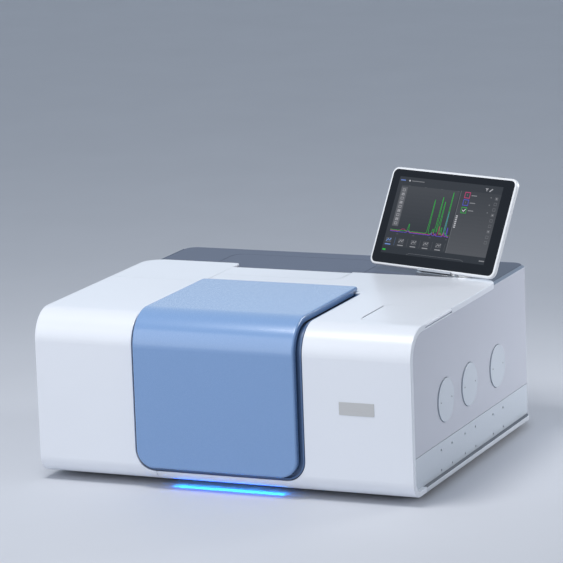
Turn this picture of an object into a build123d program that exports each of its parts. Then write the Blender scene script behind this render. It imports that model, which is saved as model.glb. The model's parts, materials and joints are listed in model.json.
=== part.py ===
from build123d import *
import os
from math import cos, hypot, radians, sin

# Benchtop infrared spectrometer. Millimetres, +Z up, front towards -Y.
# Origin: on the bench, under the middle of the overall box, tablet included.
# The sizes and shapes below are drawn with X = 0 at the middle of the body.

# Driving sizes of the whole instrument
body_width = 660.0
body_depth = 585.0
cover_top = 285.0
lid_rise = 8.0
foot_height = 12.0

# White covers
skin = 4.0
top_bend = 50.0
low_bend = 28.0
curl_depth = 56.0
band_width = 8.0
band_height = 9.5
seam = 0.8
edge_round = 1.2
near = 0.01
seat_gap = 0.3
left_seam_depth = 290.0
left_from_rear = 140.0
bridge_front_from_rear = 235.0
bridge_from_rear = 174.0
bridge_right = 65.0
right_from_rear = 167.0
cover_corner = 36.0
bridge_corner = 25.0
small_corner = 8.0

# Grey rear deck and its hatch
deck_drop = 5.0
deck_skin = 3.0
deck_front_from_rear = 205.0
deck_corner = 22.0
deck_edge = 2.0
deck_skirt = 16.0
hatch_left = -207.0
hatch_right = 75.0
hatch_front_from_rear = 169.0
hatch_from_rear = 42.0
hatch_corner = 22.0
hatch_seam = 1.0
hatch_rim = 12.0
hatch_ledge = 2.0

# Side panels and rails
panel = 5.0
rail = 8.0
rail_top = 72.0
panel_bevel = 4.0
panel_wrap = 292.0
panel_front_gap = 0.6
port_depths = [170.0, 281.0, 417.0]
left_port_count = 2
port_height = 137.0
port_radius = 36.0
port_plate = 3.0
port_bore = 25.0
port_screw_spacing = 49.0
port_screw_radius = 1.6
port_groove = 0.7
pattern_spacing_y = 50.0
pattern_spacing_z = 33.2
pattern_low = 25.8
pattern_hole = 2.1

# Base and feet
base = 8.0
base_rear_inset = 11.0
base_corner = 30.0
base_edge = 1.0
foot_radius = 20.0
foot_inset_x = 46.0
foot_front_depth = 92.0
foot_from_rear = 55.0

# Sample compartment, its frame and its lid
lid_width = 283.0
lid_centre = -8.5
lid_low = 36.0
lid_rear_depth = 277.0
lid_low_corner = 30.0
lid_round = 3.2
lid_skin = 3.0
lid_rim = 10.0
lid_inner = 3.0
lid_liner = 2.0
lid_rear_lift = 0.6
lid_rear_rim = 22.0
recess_gap = 11.5
recess_left_gap = 5.0
recess_low = 29.0
recess_low_corner = 35.0
recess_rear_depth = 262.0
frame_gap = 1.5
frame_lip = 3.0
frame_lip_drop = 2.0
frame_drop = 7.0
frame_skin = 3.0
seal_width = 6.0
seal_rim = 2.0
seal_gap = 0.3
tub_inset = 22.0
tub_rear_depth = 238.0
tub_wall = 3.0
tub_floor = 62.0
tub_foot_depth = 70.0

# Optical axis through the sample compartment
beam_height = 157.0
beam_depth = 125.0
window_bore = 20.0
window_ring = 31.0
window_ring_length = 7.0
window_radius = 22.0
window_glass = 4.0

# Accessory base and sample holder
accessory_length = 170.0
accessory_width = 110.0
accessory_plate = 8.0
accessory_hole = 2.1
accessory_spacing_x = 130.0
accessory_spacing_y = 80.0
holder_width = 76.0
holder_plate = 5.0
holder_top = 205.0
holder_bore = 10.0
holder_foot = 34.0

# Lid hinge
knuckle_spacing = 170.0
knuckle_length = 24.0
knuckle_radius = 2.6
knuckle_leg = 3.0
knuckle_foot = 20.0
hinge_pin = 1.5
hinge_pin_reach = 6.0
run_gap = 0.05
hinge_setback = 3.7

# Detector flap, its well and the detector
flap_width = 112.0
flap_front_depth = 68.0
flap_rear_depth = 188.0
flap_corner = 12.0
flap_gap = 0.6
flap_plate = 3.4
flap_barrel = 3.6
flap_pin = 1.3
flap_pin_reach = 8.0
slot_front_depth = 84.0
slot_rear_depth = 179.0
slot_width = 3.0
well_wall = 2.0
well_floor = 112.0
well_left_gap = 7.0
well_right_gap = 20.0
well_end_gap = 9.0
well_flange = 6.0
detector_width = 52.0
detector_length = 60.0
detector_block = 74.0
detector_neck = 17.0
detector_neck_height = 28.0

# Status light, name plate
light_width = 194.0
light_front_depth = 14.0
light_rear_depth = 24.0
light_recess = 0.4
light_thickness = 6.0
plate_inset = 94.0
plate_height = 155.5
plate_width = 60.0
plate_tall = 21.0
plate_thick = 1.0
plate_sunk = 0.5
plate_corner = 1.5

# Rear panel and what it carries
rear_recess = 13.0
rear_sheet = 2.0
inlet_inset = 115.0
inlet_height = 70.0
inlet_width = 48.0
inlet_tall = 62.0
inlet_depth = 30.0
inlet_flange = 3.0
socket_width = 28.0
socket_tall = 24.0
socket_deep = 20.0
socket_low = 8.0
contact_pitch = 7.0
contact_width = 2.0
contact_tall = 4.0
contact_short = 4.0
switch_width = 20.0
switch_tall = 14.0
switch_dish = 1.5
switch_edge = 1.0
switch_axle = 1.5
fan_inset = 140.0
fan_height = 150.0
fan_size = 80.0
fan_thickness = 25.0
fan_radius = 37.0
fan_hub = 16.0
fan_blades = 7
fan_tip_gap = 1.5
fan_arm = 4.0
fan_arm_thick = 3.5
fan_blade = 2.0
fan_pitch = 40.0
fan_clear = 2.0
guard_rings = 4
guard_wire = 1.6
guard_foot = 12.0
data_centre = -80.0
data_height = 70.0
data_pitch = 26.0
data_side = 13.0
data_wall = 1.0
data_deep = 15.0
purge_centre = 30.0
purge_height = 70.0
purge_pitch = 44.0
purge_bore = 2.0
purge_radius = 4.0
purge_reach = 10.0

# Interferometer bay
mirror_radius = 22.0
mirror_thick = 7.0
post_radius = 8.0
splitter_inset = 110.0
splitter_from_rear = 255.0
arm_reach = 70.0
pivot_pin = 5.0
hub_radius = 12.0
arm_width = 12.0
arm_thick = 10.0
retro_radius = 19.0
retro_length = 34.0
retro_side = 30.0
cube_tilt = 35.2644
saddle = 4.0
bed_top = 58.0
bed_margin = 34.0
bed_wall = 6.0
splitter_frame = 76.0
splitter_thick = 14.0
splitter_bore = 27.0
splitter_glass = 6.0
lever_length = 42.0
lever_width = 12.0
lever_thick = 6.0
lever_pin = 4.0
magnet_size = 30.0
magnet_height = 20.0
tail_reach = 24.0
paddle_gap = 1.0
source_inset = 46.0
source_from_rear = 73.0
source_size = 54.0
source_fins = 7
source_fin = 2.0
source_fin_depth = 10.0
source_bore = 9.0
element_radius = 3.0
element_length = 20.0
wheel_from_rear = 123.0
wheel_radius = 30.0
wheel_thick = 3.0
wheel_orbit = 18.0
wheel_holes = 6
wheel_hole_step = 0.6
wheel_hole_max = 6.0
motor_radius = 11.0
motor_length = 26.0
motor_shaft = 2.5
laser_inset = 140.0
laser_from_rear = 85.0
laser_length = 90.0
laser_radius = 15.0

# Power supply and control board
supply_inset = 95.0
supply_from_rear = 105.0
supply_width = 110.0
supply_length = 130.0
supply_height = 52.0
board_x = 60.0
board_from_rear = 95.0
board_width = 170.0
board_length = 120.0
board_thick = 1.6
board_standoff = 8.0
chip_size = 24.0
chip_height = 3.0

# Tablet and stand
tablet_width = 266.0
tablet_tall = 174.5
tablet_thick = 8.5
tablet_inset = 130.0
tablet_from_rear = 153.0
tablet_lift = 6.0
tablet_turn = -17.2
tablet_tilt = 26.3
tablet_corner = 13.0
tablet_edge = 2.5
glass_inset = 4.0
glass_thick = 1.2
glass_corner = 9.0
cradle_width = 70.0
cradle_offset = 10.0
cradle_sheet = 2.0
cradle_tall = 96.0
cradle_lug = 30.0
pivot_lift = 64.0
pivot_back = 11.0
pivot_radius = 6.0
pivot_pin_radius = 3.0
ear_thick = 5.0
ear_width = 16.0
stand_plate = 4.0
stand_length = 84.0
stand_width = 96.0
stand_corner = 10.0
button_length = 14.0
button_width = 2.6
button_out = 0.8
button_deep = 4.0
button_x = 95.0

# Places worked out from the driving sizes
front = lid_rise - (lid_rise + body_depth) / 2
rear = front + body_depth
half = body_width / 2
flank = half - band_width
skin_low = foot_height
deck_top = cover_top - deck_drop
base_top = foot_height + base
recess_left = lid_centre - lid_width / 2 - recess_left_gap
recess_right = lid_centre + lid_width / 2 + recess_gap
low_seam = recess_left + recess_low_corner
lid_left = lid_centre - lid_width / 2
lid_right = lid_centre + lid_width / 2
tub_left = lid_left + tub_inset
tub_right = lid_right - tub_inset
hinge_y = front + lid_rear_depth - hinge_setback
hinge_z = cover_top + lid_rise - hinge_setback
flap_left = half - flap_width
flap_x = half - flap_barrel
flap_z = cover_top - flap_barrel
beam_y = front + beam_depth
splitter_x = splitter_inset - half
splitter_y = rear - splitter_from_rear
pivot_x = splitter_x + arm_reach
pivot_y = splitter_y + arm_reach
tablet_x = half - tablet_inset
tablet_y = rear - tablet_from_rear
tablet_height = cover_top + tablet_lift
rear_face = rear - rear_recess
left_rear_depth = body_depth - left_from_rear
bridge_front_depth = body_depth - bridge_front_from_rear
bridge_rear_depth = body_depth - bridge_from_rear
right_rear_depth = body_depth - right_from_rear
deck_front_depth = body_depth - deck_front_from_rear
hatch_front_depth = body_depth - hatch_front_from_rear
hatch_rear_depth = body_depth - hatch_from_rear
foot_rear_depth = body_depth - foot_from_rear
inlet_centre = inlet_inset - half
fan_centre = half - fan_inset
source_x = source_inset - half
source_depth = body_depth - source_from_rear
wheel_depth = body_depth - wheel_from_rear
laser_x = laser_inset - half
laser_depth = body_depth - laser_from_rear
supply_x = half - supply_inset
supply_depth = body_depth - supply_from_rear
board_depth = body_depth - board_from_rear
plate_centre = half - plate_inset


def at(depth):
    """Y of a point this far behind the front face of the covers."""
    return front + depth


def block(x0, x1, y0, y1, z0, z1):
    """Box between two corners."""
    return Pos((x0 + x1) / 2, (y0 + y1) / 2, (z0 + z1) / 2) * Box(x1 - x0, y1 - y0, z1 - z0)


def rod_x(x0, x1, y, z, radius):
    """Cylinder along X."""
    return Pos((x0 + x1) / 2, y, z) * Rot(0, 90, 0) * Cylinder(radius, abs(x1 - x0))


def rod_y(x, y0, y1, z, radius):
    """Cylinder along Y."""
    return Pos(x, (y0 + y1) / 2, z) * Rot(90, 0, 0) * Cylinder(radius, abs(y1 - y0))


def rod_z(x, y, z0, z1, radius):
    """Cylinder along Z."""
    return Pos(x, y, (z0 + z1) / 2) * Cylinder(radius, abs(z1 - z0))


def rectangle(u0, u1, v0, v1):
    """Flat rectangle between two corners."""
    return Pos((u0 + u1) / 2, (v0 + v1) / 2) * Rectangle(u1 - u0, v1 - v0)


def corner(area, u_sign, v_sign):
    """The corner of a flat area that lies furthest in the given direction."""
    return max(area.vertices(), key=lambda v: u_sign * v.X + v_sign * v.Y)


def slab_x(section, x0, x1):
    """Solid from a section drawn in (y, z)."""
    return Pos(x0, 0, 0) * extrude(Plane.YZ * section, x1 - x0)


def slab_y(section, y0, y1):
    """Solid from a section drawn in (x, z)."""
    return Pos(0, y1, 0) * extrude(Plane.XZ * section, y1 - y0)


def slab_z(section, z0, z1):
    """Solid from an outline drawn in (x, y)."""
    return Pos(0, 0, z0) * extrude(section, z1 - z0)


def hood_section(inset, y_rear):
    """Side section of the covers, moved inwards by inset, from the front to y_rear."""
    area = rectangle(front + inset, y_rear, skin_low + inset, cover_top - inset)
    area = fillet(corner(area, -1, -1), low_bend - inset)
    return fillet(corner(area, -1, 1), top_bend - inset)


def hood(x0, x1, outset, inset, y_rear):
    """Bent shell between two offsets of the cover section, open behind."""
    outer = slab_x(hood_section(-outset, y_rear), x0, x1)
    inner = slab_x(hood_section(inset, y_rear + skin), x0, x1)
    return outer - inner


def front_window(x0, x1, z0, low_corner, y_rear, rear_corner):
    """Space behind an outline with rounded lower corners, ending at y_rear with rounded corners."""
    face = rectangle(x0, x1, z0, cover_top + lid_rise + skin)
    face = fillet([corner(face, -1, -1), corner(face, 1, -1)], low_corner)
    plan = rectangle(x0, x1, front - lid_rise - skin, y_rear)
    plan = fillet([corner(plan, -1, 1), corner(plan, 1, 1)], rear_corner)
    through = slab_y(face, front - lid_rise - skin, y_rear + skin)
    down = slab_z(plan, z0 - skin, cover_top + lid_rise + skin)
    return through & down


def recess_space():
    """The opening in the covers in which the lid lies."""
    return front_window(recess_left, recess_right, recess_low, recess_low_corner,
                        at(recess_rear_depth), small_corner)


def cover_shell(x0, x1, y_rear):
    """White cover: bent sheet with a curl under the front edge."""
    shell = hood(x0, x1, 0, skin, y_rear)
    return shell - block(x0 - 1, x1 + 1, at(curl_depth), y_rear + 1, 0, cover_top / 2)


def cover_band(x0, x1, y_rear):
    """Thick outer edge of a white cover."""
    band = hood(x0, x1, 0, band_height, y_rear)
    return band - block(x0 - 1, x1 + 1, at(curl_depth), y_rear + 1, 0, cover_top / 2)


def under_skin(point):
    """Depth of a point under the outer face of the covers."""
    y = point.Y - front
    z = cover_top - point.Z
    low = point.Z - skin_low
    if y < top_bend and z < top_bend:
        return top_bend - hypot(y - top_bend, z - top_bend)
    if y < low_bend and low < low_bend:
        return low_bend - hypot(y - low_bend, low - low_bend)
    return min(y, z, low)


def rounded_cover(shape, y_seam):
    """Round a cover's outer edges along the flank, and along the lid's recess up to y_seam."""
    chosen = []
    for edge in shape.edges():
        spots = [edge @ 0, edge @ 0.5, edge @ 1]
        outside = all(abs(under_skin(p)) < near for p in spots)
        on_flank = all(abs(abs(p.X) - half) < near for p in spots)
        on_seam = all(abs(p.X - low_seam) < seam for p in spots)
        on_curl = all(abs(p.Y - at(curl_depth)) < near for p in spots)
        ahead = any(p.Y < y_seam - near for p in spots)
        if outside and (on_flank or ahead) and not (on_seam or on_curl):
            chosen.append(edge)
    return fillet(chosen, edge_round)


def left_cover():
    """White cover of the left front."""
    y_rear = at(left_seam_depth) - seam / 2
    shell = cover_shell(-half, low_seam - seam / 2, y_rear)
    shell = shell + cover_band(-half, -flank, y_rear)
    shell = shell - recess_space()
    shell = shell - block(recess_left, low_seam, at(recess_rear_depth) - recess_gap, y_rear + 1,
                          cover_top / 2, cover_top + 1)
    return rounded_cover(shell, y_rear)


def left_rear_cover():
    """White cover that lifts off the interferometer bay."""
    y0 = at(left_seam_depth) + seam / 2
    plan = rectangle(-half, recess_left, y0, at(left_rear_depth))
    plan = fillet(corner(plan, -1, 1), cover_corner)
    plan = fillet(corner(plan, 1, 1), small_corner)
    top = slab_z(plan, cover_top - skin, cover_top)
    edge = slab_z(plan, cover_top - band_height, cover_top)
    edge = edge & block(-half, -flank, y0, at(left_rear_depth), 0, cover_top)
    return rounded_cover(top + edge, y0)


def bridge_outline(margin, y_rear):
    """Plan of the bridge cover, grown by a margin and ending at y_rear."""
    plan = rectangle(recess_left + seam - margin, bridge_right + margin,
                     at(bridge_front_depth) - margin, y_rear)
    return fillet(corner(plan, 1, -1), bridge_corner + margin)


def right_outline():
    """Plan of the right cover, seen from above."""
    y_rear = at(right_rear_depth)
    plan = rectangle(recess_left + seam, half, front, y_rear)
    plan = fillet(corner(plan, 1, 1), cover_corner)
    return plan - bridge_outline(seam, y_rear + seam)


def flap_outline(margin):
    """Plan of the detector flap, grown by a margin."""
    plan = rectangle(flap_left - margin, half + margin, at(flap_front_depth) - margin,
                     at(flap_rear_depth) + margin)
    return fillet([corner(plan, -1, -1), corner(plan, -1, 1)], flap_corner)


def finger_slot():
    """Slot along the left edge of the flap."""
    return block(flap_left - slot_width, flap_left, at(slot_front_depth), at(slot_rear_depth),
                 cover_top - band_height, cover_top + 1)


def flap_relief():
    """Space for the flap and its hinge barrel in the right cover."""
    low = flap_z - flap_barrel - seat_gap
    opening = slab_z(flap_outline(flap_gap), low, cover_top + 1)
    pins = rod_y(flap_x, at(flap_front_depth) - flap_pin_reach - flap_gap,
                 at(flap_rear_depth) + flap_pin_reach + flap_gap, flap_z, flap_pin + run_gap)
    return opening + pins + finger_slot()


def light_space():
    """Slot under the front edge for the status light."""
    return block(-light_width / 2, light_width / 2, at(light_front_depth), at(light_rear_depth),
                 0, skin_low + low_bend)


def knuckle_places():
    """X of the middle of each lid knuckle."""
    return [lid_centre - knuckle_spacing / 2, lid_centre + knuckle_spacing / 2]


def right_cover():
    """White cover of the right side, with the strip behind the lid and the bar under it."""
    y_rear = at(right_rear_depth)
    shell = cover_shell(low_seam + seam / 2, half, y_rear)
    strip = block(recess_left + seam, low_seam + seam, at(recess_rear_depth), y_rear,
                  cover_top - skin, cover_top)
    shell = shell + strip + cover_band(flank, half, y_rear)
    shell = shell & slab_z(right_outline(), 0, cover_top + 1)
    shell = rounded_cover(shell - recess_space(), at(recess_rear_depth) + seam)
    shell = shell - flap_relief() - light_space()
    for x in knuckle_places():
        width = knuckle_length / 2 + seat_gap
        depth = knuckle_leg / 2 + seat_gap
        shell = shell - block(x - width, x + width, hinge_y - depth, hinge_y + depth,
                              deck_top, cover_top + 1)
    return shell - plate_pocket()


def bridge_cover():
    """Small white cover behind the lid."""
    return slab_z(bridge_outline(0, at(bridge_rear_depth)), deck_top + seat_gap, cover_top)


def plate_pocket():
    """Shallow pocket for the name plate."""
    return block(plate_centre - plate_width / 2, plate_centre + plate_width / 2,
                 front - 1, front + plate_sunk,
                 plate_height - plate_tall / 2, plate_height + plate_tall / 2)


def name_plate():
    """Bare metal plate on the front."""
    face = Pos(plate_centre, plate_height) * RectangleRounded(plate_width, plate_tall, plate_corner)
    return slab_y(face, front + plate_sunk - plate_thick, front + plate_sunk)


def status_light_bar():
    """Light guide let into the curl under the front edge."""
    guide = hood(-light_width / 2 + seat_gap, light_width / 2 - seat_gap,
                 -light_recess, light_thickness, 0)
    return guide & block(-light_width, light_width, at(light_front_depth) + seat_gap,
                         at(light_rear_depth) - seat_gap, 0, skin_low + low_bend)


def compartment_frame():
    """Flange round the compartment opening, with a raised lip at its outer edge."""
    x0 = recess_left + frame_gap
    x1 = recess_right - frame_gap
    z0 = recess_low + frame_gap
    y1 = at(recess_rear_depth) - frame_gap
    back = frame_drop + frame_skin
    low_r = recess_low_corner - frame_gap
    rear_r = small_corner - frame_gap
    outline = front_window(x0, x1, z0, low_r, y1, rear_r)
    inside = front_window(x0 + frame_lip, x1 - frame_lip, z0 + frame_lip, low_r - frame_lip,
                          y1 - frame_lip, rear_r - frame_lip)
    plate = hood(x0, x1, -frame_drop, back, y1) & outline
    lip = (hood(x0, x1, -frame_lip_drop, back, y1) & outline) - inside
    mouth = front_window(tub_left, tub_right, tub_floor, small_corner, at(tub_rear_depth),
                         small_corner)
    return plate + lip - mouth


def lid_outline(margin, y_rear):
    """Space behind the lid's outline, shrunk by a margin and ending at y_rear."""
    return front_window(lid_left + margin, lid_right - margin, lid_low + margin,
                        lid_low_corner - margin, y_rear, small_corner - min(margin, lid_rim / 2))


def lid_seal():
    """Seal that the closed lid lies on."""
    y1 = at(recess_rear_depth) - frame_lip * 2
    ring = hood(lid_left, lid_right, -lid_inner - seal_gap, frame_drop, y1)
    ring = ring & lid_outline(seal_rim, y1)
    return ring - lid_outline(seal_rim + seal_width, y1 - seal_width)


def on_lid_face(edge):
    """True for an edge round the outer face of the lid, or along its lower rear edge."""
    box = edge.bounding_box()
    y_face = front - lid_rise
    z_face = cover_top + lid_rise
    z_rear = cover_top + lid_rear_lift
    at_front = abs(box.max.Y - y_face) < near
    at_top = abs(box.min.Z - z_face) < near
    bend = box.max.Y - box.min.Y > top_bend / 2 and box.max.Z - box.min.Z > top_bend / 2
    behind = box.min.Y > at(lid_rear_depth) - small_corner - near
    under = abs(box.min.Z - z_rear) < near and abs(box.max.Z - z_rear) < near and behind
    across = box.max.X - box.min.X > lid_width - 2 * lid_low_corner - 1
    rear_line = abs(box.min.Y - at(lid_rear_depth)) < near
    low_line = abs(box.min.Z - lid_low) < near
    joint_line = across and not (rear_line or low_line)
    outer_bend = bend and box.min.Y < y_face + near
    return (at_front or at_top or outer_bend or under) and not joint_line


def lid_blank():
    """The lid as one bent slab with rounded edges."""
    y1 = at(lid_rear_depth)
    blank = hood(lid_left, lid_right, lid_rise, lid_inner, y1) & lid_outline(0, y1)
    step = at(recess_rear_depth) - small_corner
    blank = blank - block(lid_left - 1, lid_right + 1, step, y1 + 1,
                          cover_top / 2, cover_top + lid_rear_lift)
    return fillet(blank.edges().filter_by(on_lid_face), lid_round)


def lid_shell():
    """Bent outer shell of the lid with its rim, hinge pockets and pin bores."""
    y_in = at(lid_rear_depth) - lid_rear_rim
    hollow = hood(lid_left, lid_right, lid_rise - lid_skin, lid_inner + 1, y_in)
    hollow = hollow & lid_outline(lid_rim, y_in)
    shell = lid_blank() - hollow
    for x in knuckle_places():
        x0 = x - knuckle_length / 2 - seat_gap
        x1 = x + knuckle_length / 2 + seat_gap
        shell = shell - rod_x(x0, x1, hinge_y, hinge_z, knuckle_radius + seat_gap)
        shell = shell - block(x0, x1, hinge_y - knuckle_leg / 2 - seat_gap, at(lid_rear_depth) + 1,
                              cover_top, hinge_z + knuckle_leg / 2 + 2 * run_gap)
        reach = hinge_pin_reach + run_gap
        shell = shell - rod_x(x0 - reach, x1 + reach, hinge_y, hinge_z, hinge_pin + run_gap)
    return shell


def lid_inner_panel():
    """Inner panel that closes the back of the lid."""
    y_in = at(lid_rear_depth) - lid_rear_rim - seat_gap
    sheet = hood(lid_left, lid_right, lid_liner - lid_inner, lid_inner, y_in)
    return sheet & lid_outline(lid_rim + seat_gap, y_in)


def lid_hinge_pins():
    """Two pins that join the lid to its knuckles."""
    reach = knuckle_length / 2 + seat_gap + hinge_pin_reach
    pins = [rod_x(x - reach, x + reach, hinge_y, hinge_z, hinge_pin) for x in knuckle_places()]
    return Compound(children=pins)


def lid_knuckles():
    """Two hinge knuckles, each with a leg through the cover and a foot below it."""
    solids = []
    for x in knuckle_places():
        x0 = x - knuckle_length / 2
        x1 = x + knuckle_length / 2
        barrel = rod_x(x0, x1, hinge_y, hinge_z, knuckle_radius)
        leg = block(x0, x1, hinge_y - knuckle_leg / 2, hinge_y + knuckle_leg / 2,
                    cover_top - skin - knuckle_leg, hinge_z)
        foot = block(x0, x1, hinge_y - knuckle_foot / 2, hinge_y + knuckle_foot / 2,
                     cover_top - skin - knuckle_leg, cover_top - skin)
        knuckle = barrel + leg + foot
        solids.append(knuckle - rod_x(x0 - 1, x1 + 1, hinge_y, hinge_z, hinge_pin + run_gap))
    return Compound(children=solids)


def compartment_tub():
    """Open tub of the sample compartment, with a bore for the beam in each side wall."""
    y1 = at(tub_rear_depth)
    x0 = tub_left - tub_wall
    x1 = tub_right + tub_wall
    body = block(x0, x1, front, y1 + tub_wall, tub_floor - tub_wall, cover_top)
    body = body & slab_x(hood_section(frame_drop + frame_skin, y1 + 2 * tub_wall), x0, x1)
    body = body - block(tub_left, tub_right, front, y1, tub_floor, cover_top)
    for x in (x0, tub_right):
        body = body + block(x, x + tub_wall, at(tub_foot_depth), y1 + tub_wall, base_top, tub_floor)
    return body - rod_x(x0 - 1, x1 + 1, beam_y, beam_height, window_bore)


def window_rings():
    """Two rings that hold the windows on the compartment's side walls."""
    rings = []
    for x, inward in ((tub_left, 1), (tub_right, -1)):
        ring = rod_x(x, x + inward * window_ring_length, beam_y, beam_height, window_ring)
        ring = ring - rod_x(x, x + inward * window_ring_length, beam_y, beam_height, window_bore)
        pocket = inward * (window_glass + run_gap)
        ring = ring - rod_x(x, x + pocket, beam_y, beam_height, window_radius + run_gap)
        rings.append(ring)
    return Compound(children=rings)


def port_windows():
    """Two clear discs in the window rings."""
    left = rod_x(tub_left, tub_left + window_glass, beam_y, beam_height, window_radius)
    right = rod_x(tub_right - window_glass, tub_right, beam_y, beam_height, window_radius)
    return Compound(children=[left, right])


def accessory_base():
    """Plate on the compartment floor with a rectangle of four threaded holes."""
    plan = RectangleRounded(accessory_length, accessory_width, small_corner)
    with_holes = GridLocations(accessory_spacing_x, accessory_spacing_y, 2, 2)
    plan = plan - [spot * Circle(accessory_hole) for spot in with_holes]
    return slab_z(Pos(lid_centre, beam_y) * plan, tub_floor, tub_floor + accessory_plate)


def sample_holder():
    """Upright sample holder with a bore for the beam and two rails for a sample card."""
    z0 = tub_floor + accessory_plate
    y0 = beam_y - holder_width / 2
    y1 = beam_y + holder_width / 2
    x1 = lid_centre + holder_plate / 2
    face = rectangle(y0, y1, z0, holder_top)
    face = fillet([corner(face, -1, 1), corner(face, 1, 1)], small_corner)
    holder = slab_x(face, lid_centre - holder_plate / 2, x1)
    holder = holder + block(lid_centre - holder_foot / 2, lid_centre + holder_foot / 2, y0, y1,
                            z0, z0 + holder_plate)
    for y in (y0, y1 - holder_plate):
        holder = holder + block(x1, x1 + holder_plate, y, y + holder_plate,
                                z0, holder_top - small_corner)
    return holder - rod_x(lid_centre - holder_foot, lid_centre + holder_foot, beam_y, beam_height,
                          holder_bore)


def detector_flap():
    """Flap of the right cover with a rolled hinge edge along the outside."""
    plan = flap_outline(0) & rectangle(flap_left, flap_x, at(flap_front_depth), at(flap_rear_depth))
    plate = slab_z(plan, cover_top - flap_plate, cover_top)
    barrel = rod_y(flap_x, at(flap_front_depth), at(flap_rear_depth), flap_z, flap_barrel)
    bore = rod_y(flap_x, at(flap_front_depth) - 1, at(flap_rear_depth) + 1, flap_z,
                 flap_pin + run_gap)
    return plate + barrel - bore


def flap_hinge_pin():
    """Pin through the flap's rolled edge into the cover."""
    reach = flap_pin_reach + flap_gap
    return rod_y(flap_x, at(flap_front_depth) - reach, at(flap_rear_depth) + reach, flap_z, flap_pin)


def well_box():
    """Inner faces of the detector well as x0, x1, y0, y1."""
    x0 = flap_left + well_left_gap
    x1 = half - well_right_gap
    y0 = at(flap_front_depth) + well_end_gap
    y1 = at(flap_rear_depth) - well_end_gap
    return x0, x1, y0, y1


def detector_well():
    """Tray below the flap that takes the detector, with a flange under the cover."""
    x0, x1, y0, y1 = well_box()
    top = flap_z - flap_barrel - 2 * seat_gap
    w = well_wall
    tray = block(x0 - w, x1 + w, y0 - w, y1 + w, well_floor - w, top)
    tray = tray + block(x0 - well_flange, x1 + w, y0 - well_flange, y1 + well_flange, top - w, top)
    for x in (x0 - w, x1):
        tray = tray + block(x, x + w, y0, y1, base_top, well_floor)
    tray = tray - block(x0, x1, y0, y1, well_floor, top + 1)
    return tray - rod_x(x0 - w - 1, x0 + 1, beam_y, beam_height, window_bore)


def detector_module():
    """Detector block with its entrance bore, neck and grip."""
    x0, x1, y0, y1 = well_box()
    xc = (x0 + x1) / 2
    w = detector_width / 2
    y_half = detector_length / 2
    top = well_floor + detector_block
    body = block(xc - w, xc + w, beam_y - y_half, beam_y + y_half, well_floor, top)
    body = chamfer(body.edges().filter_by(Axis.Z), small_corner / 2)
    neck = rod_z(xc, beam_y, top, top + detector_neck_height, detector_neck)
    cap = rod_z(xc, beam_y, top + detector_neck_height, top + detector_neck_height + well_wall,
                detector_neck + well_wall)
    return body + neck + cap - rod_x(xc - w - 1, xc, beam_y, beam_height, window_bore / 2)


def body_outline(inset, y0):
    """Plan of the body at the side panels, moved inwards by inset, from y0 to the rear."""
    plan = rectangle(-flank + inset, flank - inset, y0, rear - inset)
    return fillet([corner(plan, -1, 1), corner(plan, 1, 1)], deck_corner - inset)


def side_wall(thickness, z0, z1, side):
    """Wall along one side that wraps round the rear corner."""
    y0 = front + skin + panel_front_gap
    ring = slab_z(body_outline(0, y0) - body_outline(thickness, y0 - 1), z0, z1)
    keep = block(0, half, y0, rear + 1, z0, z1) - block(-1, panel_wrap, rear - deck_corner, rear + 1,
                                                        z0, z1)
    if side < 0:
        keep = mirror(keep, Plane.YZ)
    wall = ring & keep
    inset = skin + panel_front_gap
    return wall & slab_x(hood_section(inset, rear + 1), -half, half)


def port_hole(side, depth):
    """Round bore with two screw holes behind a port cover."""
    x = side * flank
    cut = rod_x(x - side * 2 * rail, x + side, at(depth), port_height, port_bore)
    for step in (-port_screw_spacing / 2, port_screw_spacing / 2):
        cut = cut + rod_x(x - side * 2 * rail, x + side, at(depth) + step, port_height,
                          port_screw_radius)
    return cut


def port_places(side):
    """Depths of the ports on one side."""
    return port_depths if side > 0 else port_depths[:left_port_count]


def side_panel(side):
    """Upper side panel with a sunk seat and a bore for each port, bevelled along the top."""
    wall = side_wall(panel, rail_top + seam, deck_top, side)
    x = side * flank
    for depth in port_places(side):
        sunk = rod_x(x - side * port_plate, x + side, at(depth), port_height,
                     port_radius + port_groove)
        wall = wall - sunk - port_hole(side, depth)
    edges = [e for e in wall.edges() if bevel_edge(e, x)]
    wall = chamfer(edges, panel_bevel)
    return wall - block(-half, half, rear - deck_corner, rear, deck_top - deck_skin, deck_top)


def bevel_edge(edge, x):
    """True for the long straight outer edge along the top of a side panel."""
    box = edge.bounding_box()
    on_face = abs(box.min.X - x) < near and abs(box.max.X - x) < near
    on_top = abs(box.min.Z - deck_top) < near and abs(box.max.Z - deck_top) < near
    return on_face and on_top


def side_rail(side):
    """Lower side rail with a rectangle of four threaded holes under each port."""
    wall = side_wall(rail, base_top, rail_top, side)
    x = side * flank
    for depth in port_places(side):
        for y in (at(depth) - pattern_spacing_y / 2, at(depth) + pattern_spacing_y / 2):
            for z in (pattern_low, pattern_low + pattern_spacing_z):
                wall = wall - rod_x(x - side * 2 * rail, x + side, y, z, pattern_hole)
    return wall


def port_covers():
    """Round cover plates on the ports, each with two screw holes."""
    discs = []
    for side in (-1, 1):
        x = side * flank
        for depth in port_places(side):
            disc = rod_x(x - side * port_plate, x, at(depth), port_height, port_radius)
            for step in (-port_screw_spacing / 2, port_screw_spacing / 2):
                disc = disc - rod_x(x - side * 2 * port_plate, x + side, at(depth) + step,
                                    port_height, port_screw_radius)
            discs.append(disc)
    return Compound(children=discs)


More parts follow.
